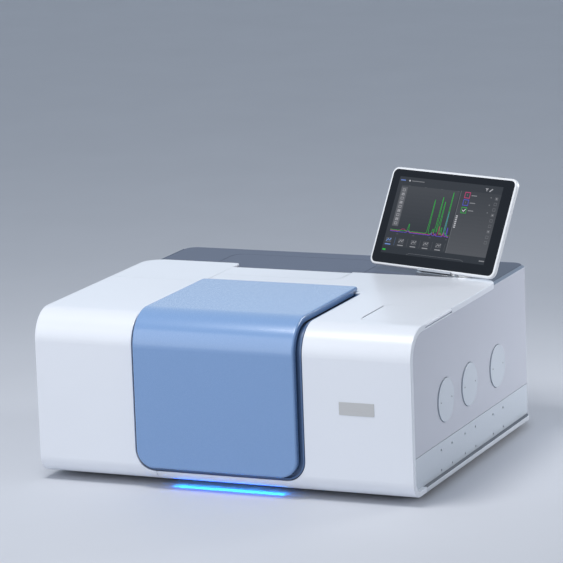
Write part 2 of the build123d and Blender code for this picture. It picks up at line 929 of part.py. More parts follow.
def base_plate():
    """Base plate with a ledge along both sides, its edges broken."""
    plan = rectangle(-half, half, at(curl_depth) + seam, rear - base_rear_inset)
    plan = fillet([corner(plan, -1, 1), corner(plan, 1, 1)], base_corner)
    plate = slab_z(plan, foot_height, base_top)
    return chamfer(plate.edges().group_by(Axis.Z)[-1] + plate.edges().group_by(Axis.Z)[0], base_edge)


def feet():
    """Four rubber feet."""
    x = half - foot_inset_x
    pads = []
    for fx in (-x, x):
        for depth in (foot_front_depth, foot_rear_depth):
            pad = rod_z(fx, at(depth), 0, foot_height, foot_radius)
            pads.append(chamfer(pad.edges().group_by(Axis.Z)[0], base / 4))
    return Compound(children=pads)


def hatch_outline(margin):
    """Plan of the service hatch, grown by a margin."""
    plan = rectangle(hatch_left - margin, hatch_right + margin, at(hatch_front_depth) - margin,
                     at(hatch_rear_depth) + margin)
    return fillet([corner(plan, -1, 1), corner(plan, 1, 1)], hatch_corner)


def rear_cover():
    """Grey deck over the rear, with a skirt along its rear edge and a ledge round the hatch."""
    y0 = at(deck_front_depth)
    plan = rectangle(-flank + panel + seat_gap, flank - panel - seat_gap, y0, rear)
    plan = fillet([corner(plan, -1, 1), corner(plan, 1, 1)], deck_corner)
    deck = slab_z(plan, deck_top - deck_skin, deck_top)
    edges = [e for e in deck.edges() if rear_rim_edge(e, y0)]
    deck = fillet(edges, deck_edge)
    skirt = block(-panel_wrap + panel_front_gap, panel_wrap - panel_front_gap,
                  rear - deck_skin, rear, deck_top - deck_skirt, deck_top - deck_skin)
    deck = deck + skirt
    ledge = slab_z(hatch_outline(hatch_rim / 2) - hatch_outline(-hatch_rim / 2),
                   deck_top - deck_skin - hatch_ledge, deck_top - deck_skin)
    return deck - slab_z(hatch_outline(hatch_seam), deck_top - deck_skin, deck_top + 1) + ledge


def rear_rim_edge(edge, y0):
    """True for the upper edges of the deck apart from the front one."""
    box = edge.bounding_box()
    on_top = abs(box.min.Z - deck_top) < near and abs(box.max.Z - deck_top) < near
    return on_top and box.max.Y > y0 + 1


def service_hatch():
    """Hatch let into the grey deck."""
    return slab_z(hatch_outline(0), deck_top - deck_skin, deck_top)


def rear_panel():
    """Sheet that closes the back, with cut-outs for what it carries."""
    x = panel_wrap - panel - panel_front_gap
    sheet = block(-x, x, rear_face - rear_sheet, rear_face, base_top, deck_top - deck_skirt)
    y0 = rear_face - 2 * rear_sheet
    y1 = rear_face + rear_sheet
    inlet = block(inlet_centre - inlet_width / 2, inlet_centre + inlet_width / 2, y0, y1,
                  inlet_height - inlet_tall / 2, inlet_height + inlet_tall / 2)
    sheet = sheet - inlet - rod_y(fan_centre, y0, y1, fan_height, fan_radius)
    for step in (-1, 0, 1):
        xs = data_centre + step * data_pitch
        sheet = sheet - block(xs - data_side / 2, xs + data_side / 2, y0, y1,
                              data_height - data_side / 2, data_height + data_side / 2)
    for step in (-1, 1):
        sheet = sheet - rod_y(purge_centre + step * purge_pitch / 2, y0, y1, purge_height,
                              purge_radius + run_gap)
    return sheet


def power_inlet():
    """Mains inlet with its socket recess and a well for the switch."""
    x0 = inlet_centre - inlet_width / 2
    x1 = inlet_centre + inlet_width / 2
    z0 = inlet_height - inlet_tall / 2
    z1 = inlet_height + inlet_tall / 2
    g = seat_gap
    body = block(x0 + g, x1 - g, rear_face - inlet_depth, rear_face, z0 + g, z1 - g)
    body = body + block(x0 - inlet_flange, x1 + inlet_flange, rear_face, rear_face + inlet_flange,
                        z0 - inlet_flange, z1 + inlet_flange)
    zc = z0 + socket_low + socket_tall / 2
    y0 = rear_face - socket_deep
    out = rear_face + 2 * inlet_flange
    recess = block(inlet_centre - socket_width / 2, inlet_centre + socket_width / 2, y0, out,
                   zc - socket_tall / 2, zc + socket_tall / 2)
    body = body - recess
    for step in (-1, 0, 1):
        x = inlet_centre + step * contact_pitch
        body = body + block(x - contact_width / 2, x + contact_width / 2, y0,
                            rear_face - contact_short, zc - contact_tall / 2, zc + contact_tall / 2)
    side = switch_width / 2 + g
    well = block(inlet_centre - side, inlet_centre + side, rear_face - switch_tall, out,
                 switch_z() - switch_tall / 2 - g, switch_z() + switch_tall / 2 + g)
    reach = side + 2 * switch_axle
    bore = rod_x(inlet_centre - reach, inlet_centre + reach, rear_face - inlet_flange, switch_z(),
                 switch_axle + run_gap)
    return body - well - bore


def switch_z():
    """Height of the rocker's pivot."""
    return inlet_height + inlet_tall / 2 - switch_tall


def power_switch():
    """Rocker of the power switch, dished between its two ends, on a round axle."""
    w = switch_width / 2
    t = switch_tall / 2 - switch_edge
    yp = rear_face - inlet_flange
    z = switch_z()
    deep = (yp - t, z)
    dished = (yp + t - switch_dish, z)
    top = t - switch_edge / 2
    section = Polyline(deep, (yp, z - t), (yp + t, z - top), dished, (yp + t, z + top),
                       (yp, z + t), deep)
    rocker = slab_x(make_face(section), inlet_centre - w, inlet_centre + w)
    reach = w + switch_axle
    return rocker + rod_x(inlet_centre - reach, inlet_centre + reach, yp, z, switch_axle)


def fan_frame():
    """Square fan housing behind the rear sheet, with three arms that carry the motor."""
    s = fan_size / 2
    y1 = rear_face - rear_sheet
    y0 = y1 - fan_thickness
    frame = block(fan_centre - s, fan_centre + s, y0, y1, fan_height - s, fan_height + s)
    frame = frame - rod_y(fan_centre, y0 - 1, y1 + 1, fan_height, fan_radius)
    arm_y = y0 + fan_arm_thick
    for turn in (90, 210, 330):
        arm = block(0, fan_radius + 1, y0, arm_y, -fan_arm / 2, fan_arm / 2)
        frame = frame + Pos(fan_centre, 0, fan_height) * Rot(0, turn, 0) * arm
    hub = rod_y(fan_centre, y0, arm_y, fan_height, fan_hub)
    pin = rod_y(fan_centre, y0, y1 - 2 * fan_clear, fan_height, motor_shaft)
    return frame + hub + pin


def fan_rotor():
    """Fan rotor with twisted blades."""
    y1 = rear_face - rear_sheet - fan_clear
    y0 = rear_face - rear_sheet - fan_thickness + fan_arm_thick + fan_clear
    hub = rod_y(fan_centre, y0, y1, fan_height, fan_hub)
    tip = fan_radius - fan_tip_gap
    blade = Pos(0, (y0 + y1) / 2, (fan_hub + tip) / 2) * Rot(0, 0, fan_pitch)
    blade = blade * Box(fan_blade, y1 - y0 + fan_blade, tip - fan_hub + 2 * fan_tip_gap)
    rotor = hub
    for i in range(fan_blades):
        rotor = rotor + Pos(fan_centre, 0, fan_height) * Rot(0, i * 360 / fan_blades, 0) * blade
    rotor = rotor & rod_y(fan_centre, y0, y1, fan_height, tip)
    return rotor - rod_y(fan_centre, y0 - 1, y1 - fan_clear / 2, fan_height, motor_shaft + run_gap)


def fan_guard():
    """Guard of round rings and a cross outside the fan."""
    y0 = rear_face
    y1 = rear_face + guard_wire * 2
    step = (fan_radius - fan_hub / 2) / guard_rings
    guard = rod_y(fan_centre, y0, y1, fan_height, fan_hub / 2)
    for i in range(1, guard_rings + 1):
        radius = fan_hub / 2 + i * step
        ring = rod_y(fan_centre, y0, y1, fan_height, radius + guard_wire)
        guard = guard + (ring - rod_y(fan_centre, y0, y1, fan_height, radius))
    for turn in (45, 135):
        reach = fan_radius + guard_foot
        bar = block(-reach, reach, y0, y1, -guard_wire, guard_wire)
        guard = guard + Pos(fan_centre, 0, fan_height) * Rot(0, turn, 0) * bar
    return guard


def data_ports():
    """Three data sockets in the rear sheet."""
    sockets = []
    side = data_side / 2 - run_gap
    inner = side - data_wall
    for step in (-1, 0, 1):
        x = data_centre + step * data_pitch
        shell = block(x - side, x + side, rear_face - data_deep, rear_face + data_wall,
                      data_height - side, data_height + side)
        mouth = block(x - inner, x + inner, rear_face - data_deep + 2 * data_wall,
                      rear_face + 2 * data_wall, data_height - inner + data_wall,
                      data_height + inner)
        sockets.append(shell - mouth)
    return Compound(children=sockets)


def purge_fittings():
    """Two hose fittings for the purge gas."""
    parts = []
    for step in (-1, 1):
        x = purge_centre + step * purge_pitch / 2
        y0 = rear_face - 2 * purge_reach
        stem = rod_y(x, y0, rear_face + purge_reach, purge_height, purge_radius)
        collar = rod_y(x, rear_face, rear_face + purge_radius, purge_height, purge_radius * 2)
        parts.append(stem + collar - rod_y(x, y0 - 1, rear_face + 2 * purge_reach, purge_height,
                                           purge_bore))
    return Compound(children=parts)


def mirror_unit(x, y, turn):
    """Round mirror on a post, facing the given way in plan."""
    post = rod_z(x, y, base_top, beam_height - mirror_radius + 1, post_radius)
    disc = rod_y(0, 0, mirror_thick, 0, mirror_radius)
    return post + Pos(x, y, beam_height) * Rot(0, 0, turn) * disc


def folding_mirrors():
    """Collimating mirror before the beam splitter and folding mirror before the compartment."""
    first = mirror_unit(source_x, splitter_y, 135)
    second = mirror_unit(splitter_x, beam_y, 135)
    return Compound(children=[first, second])


def interferometer_frame():
    """Cast bed on the base with walls below and the pivot post of the pendulum."""
    x0 = splitter_x - bed_margin
    x1 = pivot_x + bed_margin
    y0 = splitter_y - bed_margin
    y1 = pivot_y + bed_margin
    plan = Pos((x0 + x1) / 2, (y0 + y1) / 2) * RectangleRounded(x1 - x0, y1 - y0, small_corner)
    bed = slab_z(plan, base_top, bed_top)
    hollow = offset(plan, -bed_wall)
    bed = bed - slab_z(hollow, base_top, bed_top - bed_wall)
    boss = rod_z(pivot_x, pivot_y, bed_top, arm_low(), hub_radius)
    return bed + boss + rod_z(pivot_x, pivot_y, arm_low(), arm_low() + 2 * arm_thick, pivot_pin)


def arm_low():
    """Underside of the pendulum arms."""
    return beam_height - retro_radius - arm_thick


def retro(x, y, turn):
    """Round housing with a cube corner cut into its face, opening along +X before the turn."""
    body = rod_x(0, retro_length, 0, 0, retro_radius)
    depth = retro_length - 2 * saddle
    cube = Pos(retro_side, retro_side, retro_side) * Box(2 * retro_side, 2 * retro_side, 2 * retro_side)
    cut = Pos(2 * saddle, 0, 0) * Rot(0, cube_tilt, 0) * Rot(0, 0, -45) * cube
    body = body - cut
    return Pos(x, y, beam_height) * Rot(0, 0, turn) * Pos(-depth / 2, 0, 0) * body


def retroreflectors():
    """Two cube corner reflectors, one facing each way from the beam splitter."""
    first = retro(pivot_x, splitter_y, 180)
    second = retro(splitter_x, pivot_y, 270)
    return Compound(children=[first, second])


def pendulum_arm():
    """Two arms at a right angle that carry the reflectors and swing about one post."""
    z0 = arm_low()
    z1 = z0 + arm_thick
    w = arm_width / 2
    arm = rod_z(pivot_x, pivot_y, z0, z1 + arm_thick, hub_radius)
    arm = arm + block(pivot_x - w, pivot_x + w, splitter_y - w, pivot_y, z0, z1)
    arm = arm + block(splitter_x - w, pivot_x, pivot_y - w, pivot_y + w, z0, z1)
    arm = arm + block(pivot_x, pivot_x + tail_reach, pivot_y - w / 2, pivot_y + w / 2, z0, z1)
    for x, y in ((pivot_x, splitter_y), (splitter_x, pivot_y)):
        pad = block(x - w, x + w, y - w, y + w, z0, z1 + saddle)
        arm = arm + pad
    arm = arm - rod_x(pivot_x - retro_radius, pivot_x + retro_radius, splitter_y, beam_height,
                      retro_radius + run_gap)
    arm = arm - rod_y(splitter_x, pivot_y - retro_radius, pivot_y + retro_radius, beam_height,
                      retro_radius + run_gap)
    return arm - rod_z(pivot_x, pivot_y, z0 - 1, z1 + 2 * arm_thick, pivot_pin + run_gap)


def drive_magnet():
    """Magnet block of the pendulum drive with a gap for the arm's tail."""
    x0 = pivot_x + hub_radius + saddle
    x1 = pivot_x + bed_margin
    y0 = pivot_y - magnet_size / 2
    y1 = pivot_y + magnet_size / 2
    yoke = block(x0, x1, y0, y1, bed_top, arm_low() + magnet_height)
    return yoke - block(x0, pivot_x + tail_reach + saddle, y0, y1, arm_low() - paddle_gap,
                        arm_low() + arm_thick + paddle_gap)


def splitter_turned(shape):
    """Place a shape drawn round the beam splitter's axis along Y at 45 degrees in the bay."""
    return Pos(splitter_x, splitter_y, 0) * Rot(0, 0, 45) * shape


def beamsplitter_housing():
    """Upright housing at 45 degrees with a round opening and the post of the clamp lever."""
    s = splitter_frame / 2
    t = splitter_thick / 2
    body = block(-s, s, -t, t, bed_top, beam_height + s)
    body = body - rod_y(0, -t - 1, t + 1, beam_height, splitter_bore)
    pocket = rod_y(0, -splitter_glass / 2, splitter_glass / 2, beam_height, splitter_bore + saddle)
    body = body - pocket
    top = beam_height + s
    post = rod_z(-s + lever_width / 2, 0, top, top + lever_thick + 1, lever_pin)
    return splitter_turned(body + post)


def beamsplitter_optic():
    """Beam splitter disc in the housing."""
    t = splitter_glass / 2 - run_gap
    return splitter_turned(rod_y(0, -t, t, beam_height, splitter_bore + saddle - run_gap))


def clamp_lever():
    """Lever on top of the housing that turns on its post."""
    s = splitter_frame / 2
    z0 = beam_height + s + run_gap
    xp = -s + lever_width / 2
    lever = rod_z(xp, 0, z0, z0 + lever_thick, lever_width / 2)
    lever = lever + block(xp, xp + lever_length, -lever_width / 4, lever_width / 4, z0,
                          z0 + lever_thick)
    lever = lever + rod_z(xp + lever_length, 0, z0, z0 + lever_thick * 2, lever_width / 2)
    return splitter_turned(lever - rod_z(xp, 0, z0 - 1, z0 + lever_thick + 1, lever_pin + run_gap))


def source_housing():
    """Finned housing of the infrared source."""
    s = source_size / 2
    yc = at(source_depth)
    top = beam_height + s
    body = block(source_x - s, source_x + s, yc - s, yc + s, base_top, top)
    pitch = source_size / source_fins
    for i in range(source_fins):
        y = yc - s + (i + 0.5) * pitch - source_fin / 2
        body = body - block(source_x + s - source_fin_depth, source_x + s + 1, y + source_fin,
                            y + pitch, bed_top, top + 1)
    cavity = rod_y(source_x, yc - s - 1, yc + element_length / 2, beam_height, source_bore)
    return body - cavity


def source_element():
    """Glow element in the source housing."""
    yc = at(source_depth)
    foot = yc + element_length / 2
    return rod_y(source_x, foot - element_length, foot, beam_height, element_radius)


def wheel_axis():
    """X of the aperture wheel's axis."""
    return source_x + wheel_orbit


def aperture_wheel():
    """Wheel with a ring of holes of growing size."""
    y0 = at(wheel_depth)
    wheel = rod_y(wheel_axis(), y0, y0 + wheel_thick, beam_height, wheel_radius)
    for i in range(wheel_holes):
        angle = radians(180 + i * 360 / wheel_holes)
        x = wheel_axis() + wheel_orbit * cos(angle)
        z = beam_height + wheel_orbit * sin(angle)
        wheel = wheel - rod_y(x, y0 - 1, y0 + wheel_thick + 1, z, wheel_hole_max - i * wheel_hole_step)
    return wheel - rod_y(wheel_axis(), y0 - 1, y0 + wheel_thick + 1, beam_height,
                         motor_shaft + run_gap)


def wheel_motor():
    """Motor of the aperture wheel on its bracket."""
    y0 = at(wheel_depth) - seat_gap
    body = rod_y(wheel_axis(), y0 - motor_length, y0, beam_height, motor_radius)
    shaft = rod_y(wheel_axis(), y0, y0 + 2 * wheel_thick, beam_height, motor_shaft)
    w = motor_radius
    bracket = block(wheel_axis() - w, wheel_axis() + w, y0 - motor_length, y0 - motor_length / 2,
                    base_top, beam_height)
    return body + shaft + bracket


def laser_module():
    """Reference laser tube on a saddle."""
    y0 = at(laser_depth) - laser_length / 2
    y1 = at(laser_depth) + laser_length / 2 - rear_recess
    tube = rod_y(laser_x, y0, y1, beam_height, laser_radius)
    stand = block(laser_x - laser_radius, laser_x + laser_radius, y0 + saddle, y1 - saddle,
                  base_top, beam_height)
    return tube + stand


def power_supply():
    """Enclosed power supply on the base."""
    plan = Pos(supply_x, at(supply_depth)) * Rectangle(supply_width, supply_length)
    return slab_z(plan, base_top, base_top + supply_height)


def control_board():
    """Circuit board on four standoffs with its larger chips."""
    plan = Pos(board_x, at(board_depth)) * Rectangle(board_width, board_length)
    z0 = base_top + board_standoff
    board = slab_z(plan, z0, z0 + board_thick)
    for sx in (-1, 1):
        for sy in (-1, 1):
            x = board_x + sx * (board_width / 2 - board_standoff)
            y = at(board_depth) + sy * (board_length / 2 - board_standoff)
            board = board + rod_z(x, y, base_top, z0, board_standoff / 2)
    for sx in (-1, 1):
        chip = Pos(board_x + sx * board_width / 4, at(board_depth)) * Rectangle(chip_size, chip_size)
        board = board + slab_z(chip, z0 + board_thick, z0 + board_thick + chip_height)
    return board


def tablet_place(shape, tilt=tablet_tilt):
    """Move a shape from the tablet's own frame (x across, y into it, z up its face)."""
    return Pos(tablet_x, tablet_y, tablet_height) * Rot(0, 0, tablet_turn) * Rot(-tilt, 0, 0) * shape


def tablet_case():
    """Rounded tablet case with a seat for the glass and a slot for the button."""
    face = Pos(0, tablet_tall / 2) * RectangleRounded(tablet_width, tablet_tall, tablet_corner)
    case = slab_y(face, 0, tablet_thick)
    case = fillet(case.edges().group_by(Axis.Y)[0] + case.edges().group_by(Axis.Y)[-1], tablet_edge)
    case = case - slab_y(glass_outline(0), -1, glass_thick)
    slot = block(button_x - button_length / 2 - run_gap, button_x + button_length / 2 + run_gap,
                 tablet_thick / 2 - button_width / 2 - run_gap,
                 tablet_thick / 2 + button_width / 2 + run_gap,
                 tablet_tall - button_deep, tablet_tall + 1)
    return tablet_place(case - slot)


def glass_outline(margin):
    """Outline of the tablet's glass, shrunk by a margin."""
    inset = 2 * (glass_inset + margin)
    return Pos(0, tablet_tall / 2) * RectangleRounded(tablet_width - inset, tablet_tall - inset,
                                                      glass_corner)


def tablet_glass():
    """Front glass of the tablet."""
    return tablet_place(slab_y(glass_outline(run_gap), 0, glass_thick))


def tablet_button():
    """Power button on the upper edge of the tablet."""
    body = block(button_x - button_length / 2, button_x + button_length / 2,
                 tablet_thick / 2 - button_width / 2, tablet_thick / 2 + button_width / 2,
                 tablet_tall - button_deep + 2 * button_out, tablet_tall + button_out)
    return tablet_place(body)


def pivot_back_y():
    """Distance of the tilt pivot behind the tablet's face."""
    return tablet_thick + cradle_sheet + pivot_back


def tablet_cradle():
    """Bracket that holds the tablet: back plate, lower lip and hinge lug."""
    x0 = cradle_offset - cradle_width / 2
    x1 = cradle_offset + cradle_width / 2
    t = tablet_thick
    back = block(x0, x1, t, t + cradle_sheet, -cradle_sheet, cradle_tall)
    floor = block(x0, x1, -cradle_sheet, t + cradle_sheet, -cradle_sheet, 0)
    lip = block(x0, x1, -cradle_sheet, 0, -cradle_sheet, cradle_sheet)
    lug0 = cradle_offset - cradle_lug / 2
    lug1 = cradle_offset + cradle_lug / 2
    lug = rod_x(lug0, lug1, pivot_back_y(), pivot_lift, pivot_radius)
    lug = lug + block(lug0, lug1, t + cradle_sheet, pivot_back_y(), pivot_lift - pivot_radius,
                      pivot_lift + pivot_radius)
    bracket = back + floor + lip + lug
    bore = rod_x(lug0 - 1, lug1 + 1, pivot_back_y(), pivot_lift, pivot_pin_radius + run_gap)
    return tablet_place(bracket - bore)


def tablet_pivot_pin():
    """Pin of the tilt hinge, held in the stand's ears."""
    reach = cradle_lug / 2 + seat_gap + ear_thick
    pin = rod_x(cradle_offset - reach, cradle_offset + reach, pivot_back_y(), pivot_lift,
                pivot_pin_radius)
    return tablet_place(pin)


def stand_place(shape):
    """Move a shape from the stand's own frame, level with the bench and turned with the tablet."""
    return Pos(tablet_x, tablet_y, 0) * Rot(0, 0, tablet_turn) * shape


def stand_pivot():
    """Pivot of the tilt hinge in the stand's own frame, as y and z."""
    t = radians(tablet_tilt)
    y = pivot_back_y() * cos(t) + pivot_lift * sin(t)
    z = tablet_height + pivot_lift * cos(t) - pivot_back_y() * sin(t)
    return y, z


def tablet_stand():
    """Stand with a foot plate on the deck and two ears for the tilt pin."""
    y, z = stand_pivot()
    plan = Pos(cradle_offset, y) * RectangleRounded(stand_width, stand_length, stand_corner)
    stand = slab_z(plan, deck_top, deck_top + stand_plate)
    for side in (-1, 1):
        xa = cradle_offset + side * (cradle_lug / 2 + seat_gap)
        xb = xa + side * ear_thick
        x0 = min(xa, xb)
        x1 = max(xa, xb)
        ear = block(x0, x1, y - ear_width / 2, y + ear_width / 2, deck_top + stand_plate, z)
        ear = ear + rod_x(x0, x1, y, z, ear_width / 2)
        stand = stand + ear
    reach = cradle_lug / 2 + seat_gap + ear_thick + 1
    return stand_place(stand - rod_x(cradle_offset - reach, cradle_offset + reach, y, z,
                                     pivot_pin_radius))


def all_parts():
    """Every node by name."""
    return {
        "base_plate": base_plate(),
        "feet": feet(),
        "left_cover": left_cover(),
        "left_rear_cover": left_rear_cover(),
        "right_cover": right_cover(),
        "bridge_cover": bridge_cover(),
        "rear_cover": rear_cover(),
        "service_hatch": service_hatch(),
        "side_panel_left": side_panel(-1),
        "side_panel_right": side_panel(1),
        "side_rail_left": side_rail(-1),
        "side_rail_right": side_rail(1),
        "port_covers": port_covers(),
        "name_plate": name_plate(),
        "status_light_bar": status_light_bar(),
        "compartment_frame": compartment_frame(),
        "compartment_tub": compartment_tub(),
        "window_rings": window_rings(),
        "port_windows": port_windows(),
        "accessory_base": accessory_base(),
        "sample_holder": sample_holder(),
        "lid_seal": lid_seal(),
        "lid_shell": lid_shell(),
        "lid_inner_panel": lid_inner_panel(),
        "lid_hinge_pins": lid_hinge_pins(),
        "lid_knuckles": lid_knuckles(),
        "detector_flap": detector_flap(),
        "flap_hinge_pin": flap_hinge_pin(),
        "detector_well": detector_well(),
        "detector_module": detector_module(),
        "rear_panel": rear_panel(),
        "power_inlet": power_inlet(),
        "power_switch": power_switch(),
        "fan_frame": fan_frame(),
        "fan_rotor": fan_rotor(),
        "fan_guard": fan_guard(),
        "data_ports": data_ports(),
        "purge_fittings": purge_fittings(),
        "folding_mirrors": folding_mirrors(),
        "interferometer_frame": interferometer_frame(),
        "retroreflectors": retroreflectors(),
        "pendulum_arm": pendulum_arm(),
        "drive_magnet": drive_magnet(),
        "beamsplitter_housing": beamsplitter_housing(),
        "beamsplitter_optic": beamsplitter_optic(),
        "clamp_lever": clamp_lever(),
        "source_housing": source_housing(),
        "source_element": source_element(),
        "aperture_wheel": aperture_wheel(),
        "wheel_motor": wheel_motor(),
        "laser_module": laser_module(),
        "power_supply": power_supply(),
        "control_board": control_board(),
        "tablet_case": tablet_case(),
        "tablet_glass": tablet_glass(),
        "tablet_button": tablet_button(),
        "tablet_cradle": tablet_cradle(),
        "tablet_pivot_pin": tablet_pivot_pin(),
        "tablet_stand": tablet_stand(),
    }


def middle_x(shapes):
    """X of the middle of everything, since the turned tablet reaches past one side."""
    boxes = [shape.bounding_box() for shape in shapes]
    return (min(box.min.X for box in boxes) + max(box.max.X for box in boxes)) / 2


os.makedirs("parts", exist_ok=True)
nodes = all_parts()
origin_x = middle_x(nodes.values())
for name, shape in nodes.items():
    solids = [Pos(-origin_x, 0, 0) * solid for solid in shape.solids()]
    export_step(Compound(children=solids), f"parts/{name}.step")
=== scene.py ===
import json
import math

import bmesh
import bpy
from mathutils import Matrix, Vector


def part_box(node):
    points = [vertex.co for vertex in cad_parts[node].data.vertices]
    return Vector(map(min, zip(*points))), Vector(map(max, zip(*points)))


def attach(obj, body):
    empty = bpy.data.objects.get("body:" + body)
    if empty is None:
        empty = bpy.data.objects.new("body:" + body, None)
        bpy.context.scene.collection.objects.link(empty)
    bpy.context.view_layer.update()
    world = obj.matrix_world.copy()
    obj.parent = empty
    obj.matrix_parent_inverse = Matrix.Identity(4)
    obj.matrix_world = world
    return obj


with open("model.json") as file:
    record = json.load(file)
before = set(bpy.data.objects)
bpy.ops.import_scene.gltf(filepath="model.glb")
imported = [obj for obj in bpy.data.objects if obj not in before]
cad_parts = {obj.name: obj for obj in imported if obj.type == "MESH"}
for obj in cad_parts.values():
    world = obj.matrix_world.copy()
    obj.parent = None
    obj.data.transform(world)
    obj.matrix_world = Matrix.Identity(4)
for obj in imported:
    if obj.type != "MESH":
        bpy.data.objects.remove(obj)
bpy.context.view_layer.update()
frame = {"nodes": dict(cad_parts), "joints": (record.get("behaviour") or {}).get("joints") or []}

nodes = frame["nodes"]


# Camera: stands off to the right and a little above, with a long lens.
# It is turned to the left, tipped down and rolled slightly.
def turned(yaw, pitch, roll):
    """Camera axes for a turn to the left, a tip downwards and a roll, in degrees."""
    yaw, pitch, roll = map(math.radians, (yaw, pitch, roll))
    ahead = Vector((-math.sin(yaw) * math.cos(pitch), math.cos(yaw) * math.cos(pitch),
                    -math.sin(pitch)))
    right = Vector((math.cos(yaw), math.sin(yaw), 0))
    up = right.cross(ahead)
    right, up = (math.cos(roll) * right + math.sin(roll) * up,
                 math.cos(roll) * up - math.sin(roll) * right)
    return Matrix((right, up, -ahead)).transposed()


frame_px = 563
focal_px = 3481
centre_px = (275.1, 269.5)
camera_place = (2.2562, -5.2346, 1.4674)
camera_turn = (23.61, 11.44, -2.04)
sensor_mm = 36
eye = bpy.data.cameras.new("studio_camera")
camera = bpy.data.objects.new("studio_camera", eye)
bpy.context.scene.collection.objects.link(camera)
eye.sensor_width = sensor_mm
eye.lens = sensor_mm * focal_px / frame_px
eye.shift_x = (frame_px / 2 - centre_px[0]) / frame_px
eye.shift_y = (centre_px[1] - frame_px / 2) / frame_px
eye.clip_end = 60
camera.matrix_world = Matrix.Translation(camera_place) @ turned(*camera_turn).to_4x4()
bpy.context.scene.camera = camera
bpy.context.scene.view_settings.view_transform = "Standard"


# Studio floor: a wide pale matt sheet, level with the bench.
# Every material of this file is made with Finish, whose numbers become Wires.
class Wire:
    """A value in a material's node tree, which adds and multiplies as a number does."""

    def __init__(self, finish, socket):
        self.finish = finish
        self.socket = socket

    def maths(self, operation, first, second=0.0):
        return self.finish.node("Math", {"operation": operation}, {0: first, 1: second})

    def __add__(self, other):
        return self.maths("ADD", self, other)

    def __sub__(self, other):
        return self.maths("SUBTRACT", self, other)

    def __rsub__(self, other):
        return self.maths("SUBTRACT", other, self)

    def __mul__(self, other):
        return self.maths("MULTIPLY", self, other)

    def __gt__(self, other):
        return self.maths("GREATER_THAN", self, other)

    def __lt__(self, other):
        return self.maths("LESS_THAN", self, other)

    def __abs__(self):
        return self.maths("ABSOLUTE", self)

    __radd__ = __add__
    __rmul__ = __mul__


class Finish:
    """A material made of nodes around one Principled shader."""

    def __init__(self, name, colour, roughness, metallic=0.0):
        self.material = bpy.data.materials.new(name)
        self.material.use_nodes = True
        self.tree = self.material.node_tree
        self.shader = self.tree.nodes["Principled BSDF"]
        self.colour = (*colour, 1.0)
        self.place = self.node("TexCoord", output="Object")
        self.feed("Base Color", self.colour)
        self.feed("Roughness", roughness)
        self.feed("Metallic", metallic)

    def node(self, kind, settings=None, inputs=None, output=0):
        """Add a shader node, and give one of its outputs as a Wire."""
        made = self.tree.nodes.new("ShaderNode" + kind)
        for key, value in (settings or {}).items():
            setattr(made, key, value)
        for key, value in (inputs or {}).items():
            self.plug(made.inputs[key], value)
        return Wire(self, made.outputs[output])

    def plug(self, socket, value):
        """Link a Wire to a socket, or set a plain value on it."""
        if isinstance(value, Wire):
            self.tree.links.new(value.socket, socket)
        else:
            socket.default_value = value

    def feed(self, name, value):
        """Plug a value into an input of the Principled shader."""
        self.plug(self.shader.inputs[name], value)

    def along(self, axis):
        """Where a point of the object lies along X, Y or Z, in metres."""
        return self.node("SeparateXYZ", None, {0: self.place}, output=axis)

    def noise(self, scale, detail=2.0, stretch=(1, 1, 1)):
        """Smooth noise from 0 to 1, with this many lumps per metre."""
        point = self.node("VectorMath", {"operation": "MULTIPLY"}, {0: self.place, 1: stretch})
        return self.node("TexNoise", None, {"Vector": point, "Scale": scale, "Detail": detail})

    def between(self, amount, first, second):
        """Colour between two colours."""
        return self.node("Mix", {"data_type": "RGBA"}, {0: amount, 6: first, 7: second}, output=2)

    def tint(self, amount, spread):
        """The own colour, varied by a share of itself."""
        low = tuple(c * (1 - spread) for c in self.colour[:3]) + (1.0,)
        high = tuple(min(1.0, c * (1 + spread)) for c in self.colour[:3]) + (1.0,)
        return self.between(amount, low, high)

    def bump(self, height, distance, strength=1.0, rounded=None):
        """Fine relief; with rounded, sharp edges also shade as if rounded to that radius."""
        inputs = {"Height": height, "Distance": distance, "Strength": strength}
        if rounded:
            inputs["Normal"] = self.node("Bevel", {"samples": 6}, {"Radius": rounded})
        self.feed("Normal", self.node("Bump", None, inputs))


floor_reach = 14.0
floor_corners = ((-1, -1), (1, -1), (1, 1), (-1, 1))
floor_mesh = bpy.data.meshes.new("studio_floor")
floor_mesh.from_pydata([(x * floor_reach, y * floor_reach, 0) for x, y in floor_corners],
                       [], [(0, 1, 2, 3)])
floor = bpy.data.objects.new("studio_floor", floor_mesh)
bpy.context.scene.collection.objects.link(floor)
pale = Finish("pale_floor", (0.62, 0.64, 0.69), 0.6)
pale.feed("Specular IOR Level", 0.3)
pale.feed("Base Color", pale.tint(pale.noise(3.0), 0.03))
pale.feed("Roughness", 0.55 + pale.noise(9.0) * 0.1)
floor_mesh.materials.append(pale.material)

# Lights: a wide soft box at the front left, one overhead and forward, and a low one behind the
# right side. The world fills the shadows, and is a pale backdrop to the camera and to gloss.
# Each row gives a name, the place, the point aimed at, the width, the watts and the spread.
for name, place, aim, width, watts, spread in (
    ("front_softbox", (-1.6, -4.2, 1.7), (0, 0, 0.12), 4.2, 84, 180),
    ("top_softbox", (-0.30, -0.85, 2.4), (0, 0, 0.2), 0.75, 32, 180),
    ("rear_softbox", (1.25, 1.05, 0.55), (0.31, 0.33, 0.16), 0.7, 2.6, 80),
):
    lamp = bpy.data.lights.new(name, "AREA")
    lamp.shape, lamp.size, lamp.energy = "SQUARE", width, watts
    lamp.spread = math.radians(spread)
    light = bpy.data.objects.new(name, lamp)
    light.location = place
    light.rotation_euler = (Vector(aim) - Vector(place)).to_track_quat("-Z", "Y").to_euler()
    light.visible_camera = False
    bpy.context.scene.collection.objects.link(light)
world = bpy.data.worlds.new("studio_world")
bpy.context.scene.world = world
world.use_nodes = True
